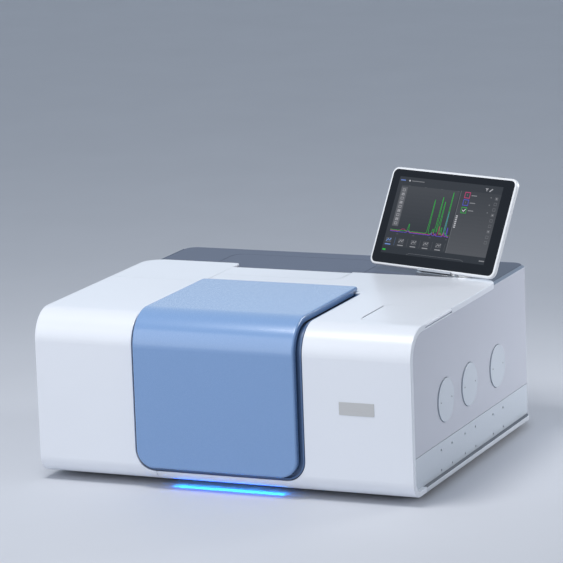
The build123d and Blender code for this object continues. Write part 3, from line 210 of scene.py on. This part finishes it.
sky = world.node_tree
fill = sky.nodes["Background"]
fill.inputs["Color"].default_value = (0.80, 0.88, 1.0, 1.0)
fill.inputs["Strength"].default_value = 0.36
backdrop = sky.nodes.new("ShaderNodeBackground")
backdrop.inputs["Color"].default_value = (0.66, 0.79, 0.95, 1.0)
ray = sky.nodes.new("ShaderNodeLightPath")
seen = None
for kind in ("Is Camera Ray", "Is Glossy Ray", "Is Transmission Ray"):
    larger = sky.nodes.new("ShaderNodeMath")
    larger.operation = "MAXIMUM"
    sky.links.new(ray.outputs[kind], larger.inputs[0])
    larger.inputs[1].default_value = 0
    if seen:
        sky.links.new(seen, larger.inputs[1])
    seen = larger.outputs[0]
either = sky.nodes.new("ShaderNodeMixShader")
sky.links.new(seen, either.inputs[0])
sky.links.new(fill.outputs[0], either.inputs[1])
sky.links.new(backdrop.outputs[0], either.inputs[2])
sky.links.new(either.outputs[0], sky.nodes["World Output"].inputs["Surface"])


# Feet: four turned rubber pads in the shade under the base.
# Each is screwed to the base plate from below.
def dress(finish, *names):
    """Give CAD pieces a finish."""
    for name in names:
        slots = nodes[name].data.materials
        slots.clear()
        slots.append(finish.material)


def rubbery(name, colour):
    """Matt rubber with a dusty bloom."""
    made = Finish(name, colour, 0.8)
    bloom = made.noise(120.0, 5.0)
    made.feed("Base Color", made.tint(bloom, 0.35))
    made.feed("Roughness", 0.7 + bloom * 0.2)
    made.bump(made.noise(1500.0), 0.00005, 0.5)
    return made


dress(rubbery("foot_rubber", (0.02, 0.02, 0.022)), "feet")


# Base plate: a thick sheet that carries everything. Its faces are painted near black as painted
# shade, for the dark gap under the body and the dark groove at the foot of each rail.
# Only the edge that shows along each side keeps a pale coat, much like that of the rails.
def powder_coat(name, colour, roughness, peel=700.0, edge=0.0008):
    """Sprayed coat with a faint orange peel, which shades round at bent and cut edges."""
    made = Finish(name, colour, roughness)
    skin = made.noise(peel, 2.0)
    made.feed("Base Color", made.tint(made.noise(7.0), 0.012))
    made.feed("Roughness", roughness - 0.03 + skin * 0.06)
    made.bump(skin, 0.00004, 0.25, edge)
    made.feed("Coat Weight", 0.08)
    return made


# Painted shade: near black on every face of the plate except the pale side edges picked out below.
painted_shade_black = (0.035, 0.045, 0.07, 1)
lip_width = 0.0075
lip_edge = 0.0003
base_coat_painted_shade = powder_coat("base_coat_painted_shade", (0.60, 0.63, 0.68), 0.30)
low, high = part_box("base_plate")
aside = abs(base_coat_painted_shade.along("X") - (low.x + high.x) / 2)
lip = (aside > (high.x - low.x) / 2 - lip_width) * (base_coat_painted_shade.along("Z") < high.z - lip_edge)
base_coat_painted_shade.feed("Base Color", base_coat_painted_shade.between(lip, painted_shade_black, base_coat_painted_shade.colour))
dress(base_coat_painted_shade, "base_plate")


# Optical bench parts: machined aluminium blocks that stand on the base.
# The bed, posts and source housing are bead blasted, the pins and the wheel are bright.
def cast(name, colour, grain, roughness):
    """Cast and blasted metal with a fine grain."""
    made = Finish(name, colour, roughness, 1.0)
    lumps = made.noise(grain, 4.0)
    made.feed("Base Color", made.tint(lumps, 0.12))
    made.feed("Roughness", roughness - 0.08 + lumps * 0.16)
    made.bump(lumps, 0.00008, 0.5, 0.0006)
    return made


def brushed(name, colour, roughness, stretch=(1, 30, 30), metallic=1.0):
    """Metal with fine parallel brush lines."""
    made = Finish(name, colour, roughness, metallic)
    lines = made.noise(120.0, 3.0, stretch)
    made.feed("Base Color", made.tint(lines, 0.1))
    made.feed("Roughness", roughness - 0.07 + lines * 0.16)
    made.bump(lines, 0.00003, 0.35, 0.0004)
    return made


bench_metal = cast("blasted_aluminium", (0.52, 0.53, 0.55), 1400.0, 0.42)
bright_steel = brushed("bright_steel", (0.55, 0.55, 0.56), 0.28)
dark_steel = brushed("dark_steel", (0.10, 0.10, 0.11), 0.4)
dress(bench_metal, "interferometer_frame", "pendulum_arm", "beamsplitter_housing",
      "source_housing", "power_supply", "compartment_tub", "accessory_base", "sample_holder")
dress(cast("dewar_steel", (0.60, 0.60, 0.60), 500.0, 0.3), "detector_module")
dress(bright_steel, "aperture_wheel", "clamp_lever", "laser_module", "source_element",
      "lid_hinge_pins", "flap_hinge_pin", "window_rings", "tablet_pivot_pin")

# Mirrors and reflectors: gold coated glass, ground flat or to a corner.
# They are cemented to their posts and to the ends of the pendulum arm.
gold = Finish("gold_mirror", (0.92, 0.70, 0.36), 0.06, 1.0)
haze = gold.noise(60.0)
gold.feed("Roughness", 0.03 + haze * 0.06)
gold.bump(haze, 0.00001, 0.1)
dress(gold, "retroreflectors", "folding_mirrors")

# Windows and beam splitter: polished crystal, faintly tinted.
# The windows are held by rings in the walls of the tub, the splitter in its housing.
crystal = Finish("window_crystal", (0.88, 0.95, 0.96), 0.03)
crystal.feed("Transmission Weight", 0.85)
crystal.feed("IOR", 1.5)
crystal.feed("Roughness", 0.02 + crystal.noise(40.0) * 0.04)
dress(crystal, "port_windows", "beamsplitter_optic")

# Motor, magnet, fan, inlet and liners: moulded or black anodised parts with a fine grain. The
# detector well takes this black as painted shade, so that its slot shows dark.
# The control board is a bought part with green resist over its traces.
moulded = Finish("black_moulding", (0.022, 0.022, 0.025), 0.5)
grain = moulded.noise(1800.0, 1.0)
moulded.feed("Base Color", moulded.tint(moulded.noise(40.0), 0.2))
moulded.feed("Roughness", 0.42 + grain * 0.2)
moulded.bump(grain, 0.00006, 0.6, 0.0005)
dress(moulded, "wheel_motor", "drive_magnet", "lid_inner_panel", "power_inlet", "power_switch",
      "fan_frame", "fan_rotor", "tablet_button", "detector_well")
resist = Finish("board_resist", (0.012, 0.10, 0.05), 0.35)
cells = resist.node("TexVoronoi", {"feature": "DISTANCE_TO_EDGE"},
                    {"Vector": resist.place, "Scale": 260.0})
traces = cells < 0.06
resist.feed("Base Color", resist.between(traces, resist.colour, (0.03, 0.22, 0.10, 1)))
resist.bump(traces, 0.00003, 0.5)
dress(resist, "control_board")

# Covers: bent sheet with a satin white powder coat that is slightly cool.
# They clip over the frame from above; the flap turns on a pin in the right cover.
dress(powder_coat("white_coat", (0.76, 0.79, 0.85), 0.34, edge=0.0011), "left_cover",
      "left_rear_cover", "right_cover", "bridge_cover", "detector_flap")

# Side panels, rails and rear panel: flat sheet with a light grey coat, screwed to the base.
# A band along the top of the panels, as deep as the side panel's bevel, is painted dark blue grey:
# painted shadow where the covers overhang.
panel_bevel = 0.0036
side_coat_painted_shadow = powder_coat("side_coat_painted_shadow", (0.52, 0.54, 0.61), 0.30)
in_painted_shadow = side_coat_painted_shadow.along("Z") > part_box("side_panel_right")[1].z - panel_bevel
# Painted shadow: the dark blue grey of that top band.
side_coat_painted_shadow.feed("Base Color", side_coat_painted_shadow.between(in_painted_shadow, side_coat_painted_shadow.colour, (0.15, 0.19, 0.26, 1)))
dress(side_coat_painted_shadow, "side_panel_left", "side_panel_right", "rear_panel")
rail_coat = powder_coat("rail_coat", (0.57, 0.62, 0.685), 0.26)
dress(rail_coat, "side_rail_left", "side_rail_right", "port_covers")

# Lid, its frame and seal: the lid is bent sheet with a glossy light blue coat.
# The frame has a darker blue one, and the seal is black rubber pressed into the frame.
lid_coat = powder_coat("lid_coat", (0.180, 0.315, 0.57), 0.27, 1100.0, edge=0.0012)
lid_coat.feed("Coat Weight", 0.7)
lid_coat.feed("Coat Roughness", 0.17)
dress(lid_coat, "lid_shell")
dress(powder_coat("frame_coat", (0.065, 0.125, 0.25), 0.36), "compartment_frame", "lid_knuckles")
dress(rubbery("seal_rubber", (0.008, 0.010, 0.014)), "lid_seal")

# Rear deck: a slate grey coated sheet with rounded rear corners.
# The covers lap over its front edge, and a service hatch is let into it.
dress(powder_coat("deck_coat", (0.051, 0.064, 0.107), 0.5, 1100.0), "rear_cover", "service_hatch")

# Status light: a light guide under the front edge, lit blue from inside.
# A small lamp in its place throws the cooler glow back and down on the bench.
lit = Finish("blue_light_guide", (0.02, 0.10, 0.5), 0.3)
cloud = lit.noise(25.0)
lit.feed("Emission Color", lit.between(cloud, (0.0, 0.06, 0.9, 1), (0.0, 0.10, 1.0, 1)))
lit.feed("Emission Strength", 2.6)
dress(lit, "status_light_bar")
strip_width = 0.004
strip_watts = 0.042
strip_spread = 80
strip_tilt = 32
behind_edge, under_guide = 0.002, 0.001
low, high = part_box("status_light_bar")
strip = bpy.data.lights.new("status_glow", "AREA")
strip.shape, strip.size, strip.size_y = "RECTANGLE", high.x - low.x, strip_width
strip.energy, strip.color, strip.spread = strip_watts, (0.0, 0.38, 1.0), math.radians(strip_spread)
glow_lamp = bpy.data.objects.new("status_glow", strip)
glow_lamp.location = ((low.x + high.x) / 2, low.y + behind_edge, low.z - under_guide)
glow_lamp.rotation_euler = (math.radians(strip_tilt), 0, 0)
glow_lamp.visible_camera = False
bpy.context.scene.collection.objects.link(glow_lamp)

# Name plate: a small brushed aluminium plate, left bare.
# It is glued into a shallow pocket of the right cover.
dress(brushed("plate_brush", (0.50, 0.50, 0.50), 0.42, (1, 30, 30), 0.35), "name_plate")

# Rear fittings: a wire guard on the fan and the shells of the data sockets, of bright steel.
# The hose stems are turned brass, screwed into the rear panel.
dress(bright_steel, "fan_guard", "data_ports")
dress(brushed("turned_brass", (0.72, 0.52, 0.22), 0.25, (1, 40, 1)), "purge_fittings")


# Port cover plates: discs turned from sheet, with the coat of the rails.
# They close the side ports, stand a little proud of the panels and are held by two screws each.
def keep(name, mesh, body):
    """Make a finished mesh a piece that rides on a body."""
    mesh.name = name
    made = bpy.data.objects.new(name, mesh)
    bpy.context.scene.collection.objects.link(made)
    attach(made, body)
    return made


def disc(shape, centre, way, radius, thickness, edge=0.0004, sides=96):
    """Flat disc with a small bevel round its face, on a panel that looks along X."""
    rings = []
    for out, size in ((0.0, radius), (thickness - edge, radius), (thickness, radius - edge)):
        turns = (math.tau * i / sides for i in range(sides))
        rings.append([shape.verts.new((centre[0] + way * out, centre[1] + way * size * math.cos(t),
                                       centre[2] + size * math.sin(t))) for t in turns])
    for inner, outer in zip(rings, rings[1:]):
        for i in range(sides):
            shape.faces.new((inner[i], inner[i - 1], outer[i - 1], outer[i]))
    shape.faces.new(list(reversed(rings[0])))
    shape.faces.new(rings[-1])


front_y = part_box("right_cover")[0].y
low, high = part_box("port_covers")
port_z = (low.z + high.z) / 2
port_radius = (high.z - low.z) / 2
port_rise = 0.0018
right, left, back = Vector((1, 0, 0)), Vector((-1, 0, 0)), Vector((0, 1, 0))
port_depths = (0.170, 0.281, 0.417)
sides = ((right, port_depths), (left, port_depths[:2]))
face_x = {1: high.x, -1: low.x}
plates = bmesh.new()
for way, depths in sides:
    for depth in depths:
        disc(plates, (face_x[way.x], front_y + depth, port_z), way.x, port_radius, port_rise)
bmesh.ops.recalc_face_normals(plates, faces=plates.faces)
mesh = bpy.data.meshes.new("port_cover_plates")
plates.to_mesh(mesh)
plates.free()
mesh.materials.append(rail_coat.material)
keep("port_cover_plates", mesh, "chassis")


# Screws: the port covers, rear panel and fan are held by small steel socket screws.
# One tree puts a head with a six-sided socket on each point, facing as the point says.
def node_adder(tree):
    """A method that adds a node with its settings and its inputs to this tree."""
    def add(kind, settings=None, inputs=None):
        made = tree.nodes.new(kind)
        for key, value in (settings or {}).items():
            setattr(made, key, value)
        for key, value in (inputs or {}).items():
            if isinstance(value, bpy.types.NodeSocket):
                tree.links.new(value, made.inputs[key])
            else:
                made.inputs[key].default_value = value
        return made
    return add


def point_tree(name, sizes, shape):
    """Node tree that puts a shape on each point, facing as the point says."""
    tree = bpy.data.node_groups.new(name, "GeometryNodeTree")
    face = tree.interface
    face.new_socket("Points", in_out="INPUT", socket_type="NodeSocketGeometry")
    for label, size in sizes.items():
        face.new_socket(label, in_out="INPUT", socket_type="NodeSocketFloat").default_value = size
    face.new_socket("Finish", in_out="INPUT", socket_type="NodeSocketMaterial")
    face.new_socket("Result", in_out="OUTPUT", socket_type="NodeSocketGeometry")
    source = tree.nodes.new("NodeGroupInput")
    result = tree.nodes.new("NodeGroupOutput")
    add = node_adder(tree)
    made = shape(add, {label: source.outputs[label] for label in sizes})
    facing = add("GeometryNodeInputNamedAttribute", {"data_type": "FLOAT_VECTOR"},
                 {"Name": "facing"})
    turn = add("FunctionNodeAlignRotationToVector", {"axis": "Z"}, {"Vector": facing.outputs[0]})
    placed = add("GeometryNodeInstanceOnPoints", None,
                 {"Points": source.outputs["Points"], "Instance": made,
                  "Rotation": turn.outputs[0]})
    real = add("GeometryNodeRealizeInstances", None, {"Geometry": placed.outputs[0]})
    painted = add("GeometryNodeSetMaterial", None,
                  {"Geometry": real.outputs[0], "Material": source.outputs["Finish"]})
    tree.links.new(painted.outputs[0], result.inputs["Result"])
    return tree


def socket_screw(add, size):
    """A round head with a six-sided socket in its face."""
    radius, height = size["Head Radius"], size["Head Height"]
    crown = add("ShaderNodeMath", {"operation": "MULTIPLY"}, {0: radius, 1: 0.84}).outputs[0]
    head = add("GeometryNodeMeshCone", None, {"Vertices": 24, "Radius Top": crown,
                                              "Radius Bottom": radius, "Depth": height})
    hole = add("GeometryNodeMeshCylinder", None,
               {"Vertices": 6, "Radius": size["Socket Radius"], "Depth": height})
    lift = add("ShaderNodeMath", {"operation": "MULTIPLY"}, {0: height, 1: 0.9}).outputs[0]
    offset = add("ShaderNodeCombineXYZ", None, {"Z": lift}).outputs[0]
    raised = add("GeometryNodeTransform", None,
                 {"Geometry": hole.outputs["Mesh"], "Translation": offset})
    return add("GeometryNodeMeshBoolean", {"operation": "DIFFERENCE"},
               {0: head.outputs["Mesh"], 1: raised.outputs[0]}).outputs["Mesh"]


def grown(name, places, tree, finish, body, slot, **sizes):
    """Run a node tree on points that each have a facing, and keep its result as a plain mesh."""
    points = bpy.data.meshes.new(name + "_points")
    points.from_pydata([p for p, f in places], [], [])
    way = points.attributes.new("facing", "FLOAT_VECTOR", "POINT")
    for i, (p, f) in enumerate(places):
        way.data[i].vector = f
    carrier = bpy.data.objects.new(name + "_points", points)
    bpy.context.scene.collection.objects.link(carrier)
    maker = carrier.modifiers.new("maker", "NODES")
    maker.node_group = tree
    for item in tree.interface.items_tree:
        if item.in_out == "INPUT" and item.name in sizes:
            maker[item.identifier] = sizes[item.name]
        if item.in_out == "INPUT" and item.name == "Finish":
            maker[item.identifier] = finish.material
    shown = carrier.evaluated_get(bpy.context.evaluated_depsgraph_get())
    mesh = bpy.data.meshes.new_from_object(shown)
    bpy.data.objects.remove(carrier)
    return keep(name, mesh, body)


screws = point_tree("socket_screws", {"Head Radius": 0.0028, "Head Height": 0.0018,
                                      "Socket Radius": 0.0013}, socket_screw)
port_screw_reach = 0.0245
port_screw_sunk = 0.0010
spots = [((face_x[way.x] + way.x * (port_rise - port_screw_sunk),
           front_y + depth + side * port_screw_reach, port_z), way)
         for way, depths in sides for depth in depths for side in (-1, 1)]
grown("port_cover_screws", spots, screws, dark_steel, "chassis", "steel",
      **{"Head Radius": 0.0015, "Head Height": 0.0012, "Socket Radius": 0.0007})
head_lift = 0.0009
panel_margin_x, panel_margin_z, panel_middle = 0.012, 0.010, 0.09
fan_margin = 0.005
middle_x = (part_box("side_panel_left")[0].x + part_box("side_panel_right")[1].x) / 2
low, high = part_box("rear_panel")
screw_y = high.y + head_lift
spots = [((x, screw_y, z), back)
         for x in (low.x + panel_margin_x, middle_x - panel_middle, middle_x + panel_middle,
                   high.x - panel_margin_x)
         for z in (low.z + panel_margin_z, high.z - panel_margin_z)]
low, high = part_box("fan_frame")
spots += [((x, screw_y, z), back) for x in (low.x + fan_margin, high.x - fan_margin)
          for z in (low.z + fan_margin, high.z - fan_margin)]
grown("rear_screws", spots, screws, bright_steel, "chassis", "steel")


# Thread inserts: wound steel threads in the side holes under each port and in the accessory base.
# One tree winds a thin wire down from each point.
def wound_wire(add, size):
    """A wire wound into a short thread that runs down from its point."""
    coil = add("GeometryNodeCurveSpiral", None,
               {"Resolution": 14, "Rotations": 7.0, "Start Radius": size["Radius"],
                "End Radius": size["Radius"], "Height": size["Depth"]})
    wire = add("GeometryNodeCurvePrimitiveCircle", None, {"Resolution": 4, "Radius": size["Wire"]})
    tube = add("GeometryNodeCurveToMesh", None, {"Curve": coil.outputs[0],
                                                 "Profile Curve": wire.outputs[0],
                                                 "Fill Caps": True})
    down = add("ShaderNodeMath", {"operation": "MULTIPLY"}, {0: size["Depth"], 1: -1.0}).outputs[0]
    offset = add("ShaderNodeCombineXYZ", None, {"Z": down}).outputs[0]
    return add("GeometryNodeTransform", None,
               {"Geometry": tube.outputs[0], "Translation": offset}).outputs[0]


threads = point_tree("thread_inserts", {"Radius": 0.002, "Depth": 0.006, "Wire": 0.0003},
                     wound_wire)
thread_sunk = 0.0008
side_hole_reach = 0.025
side_hole_heights = (0.0258, 0.0590)
rail_x = {1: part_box("side_rail_right")[1].x, -1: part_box("side_rail_left")[0].x}
spots = [((rail_x[way.x] - way.x * thread_sunk, front_y + depth + side * side_hole_reach, z), way)
         for way, depths in sides for depth in depths
         for side in (-1, 1) for z in side_hole_heights]
grown("side_thread_inserts", spots, threads, dark_steel, "chassis", "steel")
accessory_hole_x, accessory_hole_y = 0.065, 0.040
low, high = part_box("accessory_base")
centre = (low + high) / 2
spots = [((centre.x + sx * accessory_hole_x, centre.y + sy * accessory_hole_y,
           high.z - thread_sunk), Vector((0, 0, 1)))
         for sx in (-1, 1) for sy in (-1, 1)]
grown("accessory_thread_inserts", spots, threads, bright_steel, "chassis", "steel")


# Socket contacts: eight gilt springs in each data socket, in a row under its upper wall.
# One tree puts a thin bar on each point.
def bar(add, size):
    """A small straight bar."""
    lengths = add("ShaderNodeCombineXYZ", None,
                  {"X": size["Width"], "Y": size["Height"], "Z": size["Length"]})
    return add("GeometryNodeMeshCube", None, {"Size": lengths.outputs[0]}).outputs["Mesh"]


bars = point_tree("straight_bars", {"Width": 0.0005, "Height": 0.0005, "Length": 0.007}, bar)
gilt = brushed("gilt_contacts", (0.80, 0.62, 0.25), 0.2)
socket_pitch = 0.026
contact_count, contact_pitch = 8, 0.00105
contact_behind, contact_below = 0.0075, 0.0022
low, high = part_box("data_ports")
middle = (low.x + high.x) / 2 - (contact_count - 1) / 2 * contact_pitch
spots = [((middle + step * socket_pitch + k * contact_pitch, high.y - contact_behind,
           high.z - contact_below), back)
         for step in (-1, 0, 1) for k in range(contact_count)]
grown("socket_contacts", spots, bars, gilt, "chassis", "steel")

# Tablet: white aluminium case, dark front glass with a coat against reflections.
# Its bracket and stand are blasted sheet, and it turns on a pin between them.
# Its own frame has x across, y into it and z up its face.
case = powder_coat("case_coat", (0.80, 0.81, 0.83), 0.28, 1500.0, 0.0005)
case.feed("Coat Weight", 0.4)
dress(case, "tablet_case")
glass = Finish("front_glass", (0.004, 0.005, 0.008), 0.06)
smear = glass.noise(14.0, 4.0, (1, 1, 3))
glass.feed("Roughness", 0.04 + smear * 0.07)
glass.feed("Base Color", glass.tint(smear, 0.3))
glass.feed("Specular IOR Level", 0.25)
dress(glass, "tablet_glass")
dress(brushed("blasted_bracket", (0.42, 0.42, 0.43), 0.4, (1, 1, 1)), "tablet_cradle",
      "tablet_stand")
half_glass = 0.0006
half_tall = 0.08725
joints = {joint["name"]: joint for joint in frame["joints"]}
across = -Vector(joints["tablet_tilt"]["axis"]).normalized()
upward = -Vector(joints["tablet_key_press"]["axis"]).normalized()
inward = upward.cross(across)
low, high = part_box("tablet_glass")
tablet = Matrix((across, inward, upward)).transposed().to_4x4()
tablet.translation = (low + high) / 2 - inward * half_glass - upward * half_tall


# Display: a dark plot program, drawn as thin inks on the glass.
# It has a tool column, three traces over a base line, a list with three boxes and a row of keys.
# The inks lie in layers just over the glass, the later ones on top.
class Display:
    """Flat inked shapes on the glass, in millimetres from the middle of its lower edge."""

    lowest = 0.04
    layer_step = 0.012

    def __init__(self):
        self.corners, self.faces, self.inks = [], [], []

    def shape(self, outline, ink, layer):
        """A flat shape inside its outline."""
        start = len(self.corners)
        y = -self.lowest - self.layer_step * layer
        self.corners += [Vector((x, y, z)) / 1000 for x, z in outline]
        self.faces.append(tuple(range(start, start + len(outline))))
        self.inks.append(ink)

    def panel(self, x0, x1, z0, z1, ink, layer):
        """A filled rectangle."""
        self.shape(((x0, z0), (x1, z0), (x1, z1), (x0, z1)), ink, layer)

    def outline(self, x0, x1, z0, z1, wide, ink, layer):
        """A rectangle drawn as four bands inside its edges."""
        self.panel(x0, x1, z0, z0 + wide, ink, layer)
        self.panel(x0, x1, z1 - wide, z1, ink, layer)
        self.panel(x0, x0 + wide, z0 + wide, z1 - wide, ink, layer)
        self.panel(x1 - wide, x1, z0 + wide, z1 - wide, ink, layer)

    def trace(self, points, wide, ink, layer):
        """A line of even width through points."""
        for (x0, z0), (x1, z1) in zip(points, points[1:]):
            along = math.hypot(x1 - x0, z1 - z0)
            u, v = (z1 - z0) / along * wide / 2, (x1 - x0) / along * wide / 2
            self.shape(((x0 + u, z0 - v), (x1 + u, z1 - v), (x1 - u, z1 + v), (x0 - u, z0 + v)),
                       ink, layer)


def grey(level):
    """A slightly cool grey."""
    return (level, level, level * 1.06)


def spectrum(base, peaks, ripple):
    """Points of a trace: a base line with narrow peaks of x, height and width."""
    points = []
    for k in range(251):
        x = -105 + k * 0.5
        z = base + ripple * math.sin(x * 0.9) * math.sin(x * 0.23)
        for middle, tall, wide in peaks:
            z += tall / (1 + ((x - middle) / wide) ** 4)
        points.append((x, z))
    return points


# Display ground: the lit area, with the plot field on the left, which lightens upwards,
# the list field on the right, which darkens upwards, and the foot with its rule.
display = Display()
display.panel(-113, 107, 21.5, 158, grey(0.012), 0)
for step in range(12):
    z = 60 + step * 6.9
    display.panel(-105, 20, z, z + 6.9, grey(0.010 + 0.0022 * step), 1)
for step in range(16):
    z = 34 + step * 6.9
    display.panel(22, 107, z, z + 6.9, grey(0.058 - 0.0024 * step), 1)
display.panel(-113, 107, 21.5, 34, grey(0.004), 1)
display.panel(22, 23.2, 34, 144, grey(0.10), 2)

# Display marks: the scroll ticks beside the rule, the title line with its two signs,
# the tool column with nine keys, and short dashes over and under the plot.
for k in range(7):
    display.panel(24.6, 28.4, 79 + k * 3.3, 81 + k * 3.3, grey(0.45), 2)
display.panel(-110, -99.5, 150.6, 152.8, (0.10, 0.16, 0.42), 2)
display.panel(-92, -89, 150.4, 153, grey(0.5), 2)
display.panel(-86, -59, 151, 152.4, grey(0.16), 2)
display.shape(((71, 153), (78, 153), (75.4, 150.2), (75.4, 147.6), (73.6, 148.6), (73.6, 150.2)),
              grey(0.3), 2)
display.trace([(80.5, 147.5), (86.5, 152.6)], 2.0, grey(0.35), 2)
display.panel(-104, -91, 70, 140, grey(0.085), 2)
for k in range(9):
    z = 73 + k * 7.4
    display.outline(-100.5, -94.5, z, z + 4.6, 0.9, grey(0.30), 3)
    if k % 2:
        display.trace([(-99.6, z + 1), (-97.6, z + 3.4), (-95.4, z + 1.4)], 0.9, grey(0.42), 4)
for k in range(4):
    x = -88 + k * 35
    display.panel(x - 2, x + 2, 142.2, 143, grey(0.07), 2)
    display.panel(x - 2, x + 2, 56.2, 57, grey(0.09), 2)

# Display traces: a red, a violet and a green spectrum over one base line.
# Each peak is given by its middle, height and width.
red_peaks = ((-78, 4.2, 5), (-67, 1, 3), (-14, 4, 2), (-3, 17, 1.2), (2, 4, 1.5), (8, 6, 1))
violet_peaks = ((-67, 3, 2), (-17, 5, 1.2), (-9, 4, 1), (9.2, 45, 0.8), (14.5, 17, 0.7))
green_peaks = ((-67.5, 13, 1.1), (-26, 60, 0.9), (-15.5, 9, 1.5), (-10.2, 66, 1.0), (-6, 14, 1),
               (-4, 58, 1.0), (2, 13, 1.1), (8.6, 76, 0.9), (12, 5, 0.8))
display.trace(spectrum(62.0, red_peaks, 0.3), 0.8, (0.42, 0.01, 0.12), 5)
display.trace(spectrum(60.8, violet_peaks, 0.25), 0.8, (0.10, 0.05, 0.55), 6)
display.trace(spectrum(63.4, green_peaks, 0.4), 0.8, (0.01, 0.36, 0.02), 7)

# Display list: three boxes in the colours of the traces, the lowest one ticked.
# A column of small keys stands at its right.
for z, ink in ((137.5, (0.50, 0.02, 0.14)), (124.5, (0.06, 0.06, 0.50)),
               (111.0, (0.01, 0.32, 0.02))):
    display.outline(31.8, 43.2, z - 5.4, z + 5.4, 1.1, ink, 3)
    display.panel(46, 57.5, z - 0.6, z + 0.8, grey(0.22), 3)
    display.panel(86, 88.4, z - 0.8, z + 0.8, grey(0.16), 3)
    display.panel(45, 88, z - 6.8, z - 6.4, grey(0.03), 3)
display.trace([(34.6, 111.2), (37.2, 108.8), (40.8, 113.2)], 1.1, grey(0.7), 4)
display.panel(36.4, 37.6, 136.4, 139.4, grey(0.12), 4)
display.panel(36.4, 37.6, 123.4, 126.4, grey(0.12), 4)
for k in range(9):
    z = 136.5 - k * 9.6
    display.outline(96, 102, z - 2.6, z + 2.6, 0.8, grey(0.11), 3)
    if k % 3 == 0:
        display.panel(97.8, 100.2, z - 1, z + 1, grey(0.3), 4)

# Display keys: five under the plot, of which the first is lit, with bars between them.
# The foot has a green lamp, a short field and a bracket in the middle.
for k, x in enumerate((-103, -76, -49, -23, 4)):
    ink = (0.14, 0.26, 0.62) if k == 0 else grey(0.26)
    display.outline(x - 5.5, x + 5.5, 41, 48.5, 1.0, grey(0.10), 3)
    display.trace([(x - 4.5, 42.5), (x - 1, 46.8), (x + 1.5, 43.6), (x + 4.8, 48)], 1.2, ink, 4)
    display.panel(x - 6, x + 6, 36.4, 38, ink, 4)
    display.panel(x + 13.2, x + 14, 36, 50, (0.05, 0.09, 0.18) if k == 0 else grey(0.05), 3)
display.panel(-111, -104.5, 26.2, 28.6, (0.0, 0.48, 0.02), 4)
display.panel(95, 106, 26.6, 28.4, grey(0.22), 4)
display.trace([(-58, 22.5), (-53, 25), (58, 25), (63, 22.5)], 0.5, grey(0.12), 4)

# Display sheet: all shapes as one mesh on the face of the glass.
# The colour of each is kept on its corners, and the sheet glows with it.
mesh = bpy.data.meshes.new("display")
mesh.from_pydata([tablet @ c for c in display.corners], [], display.faces)
layer = mesh.color_attributes.new("ink", "FLOAT_COLOR", "CORNER")
for face, ink in zip(mesh.polygons, display.inks):
    for loop in face.loop_indices:
        layer.data[loop].color = (*ink, 1.0)
glow = Finish("display_ink", (0.004, 0.005, 0.008), 0.06)
inks = glow.node("VertexColor", {"layer_name": "ink"})
glow.feed("Emission Color", inks)
glow.feed("Roughness", 0.04 + glow.noise(14.0, 4.0) * 0.07)
glow.feed("Emission Strength", 1.0)
mesh.materials.append(glow.material)
keep("display", mesh, "tablet")
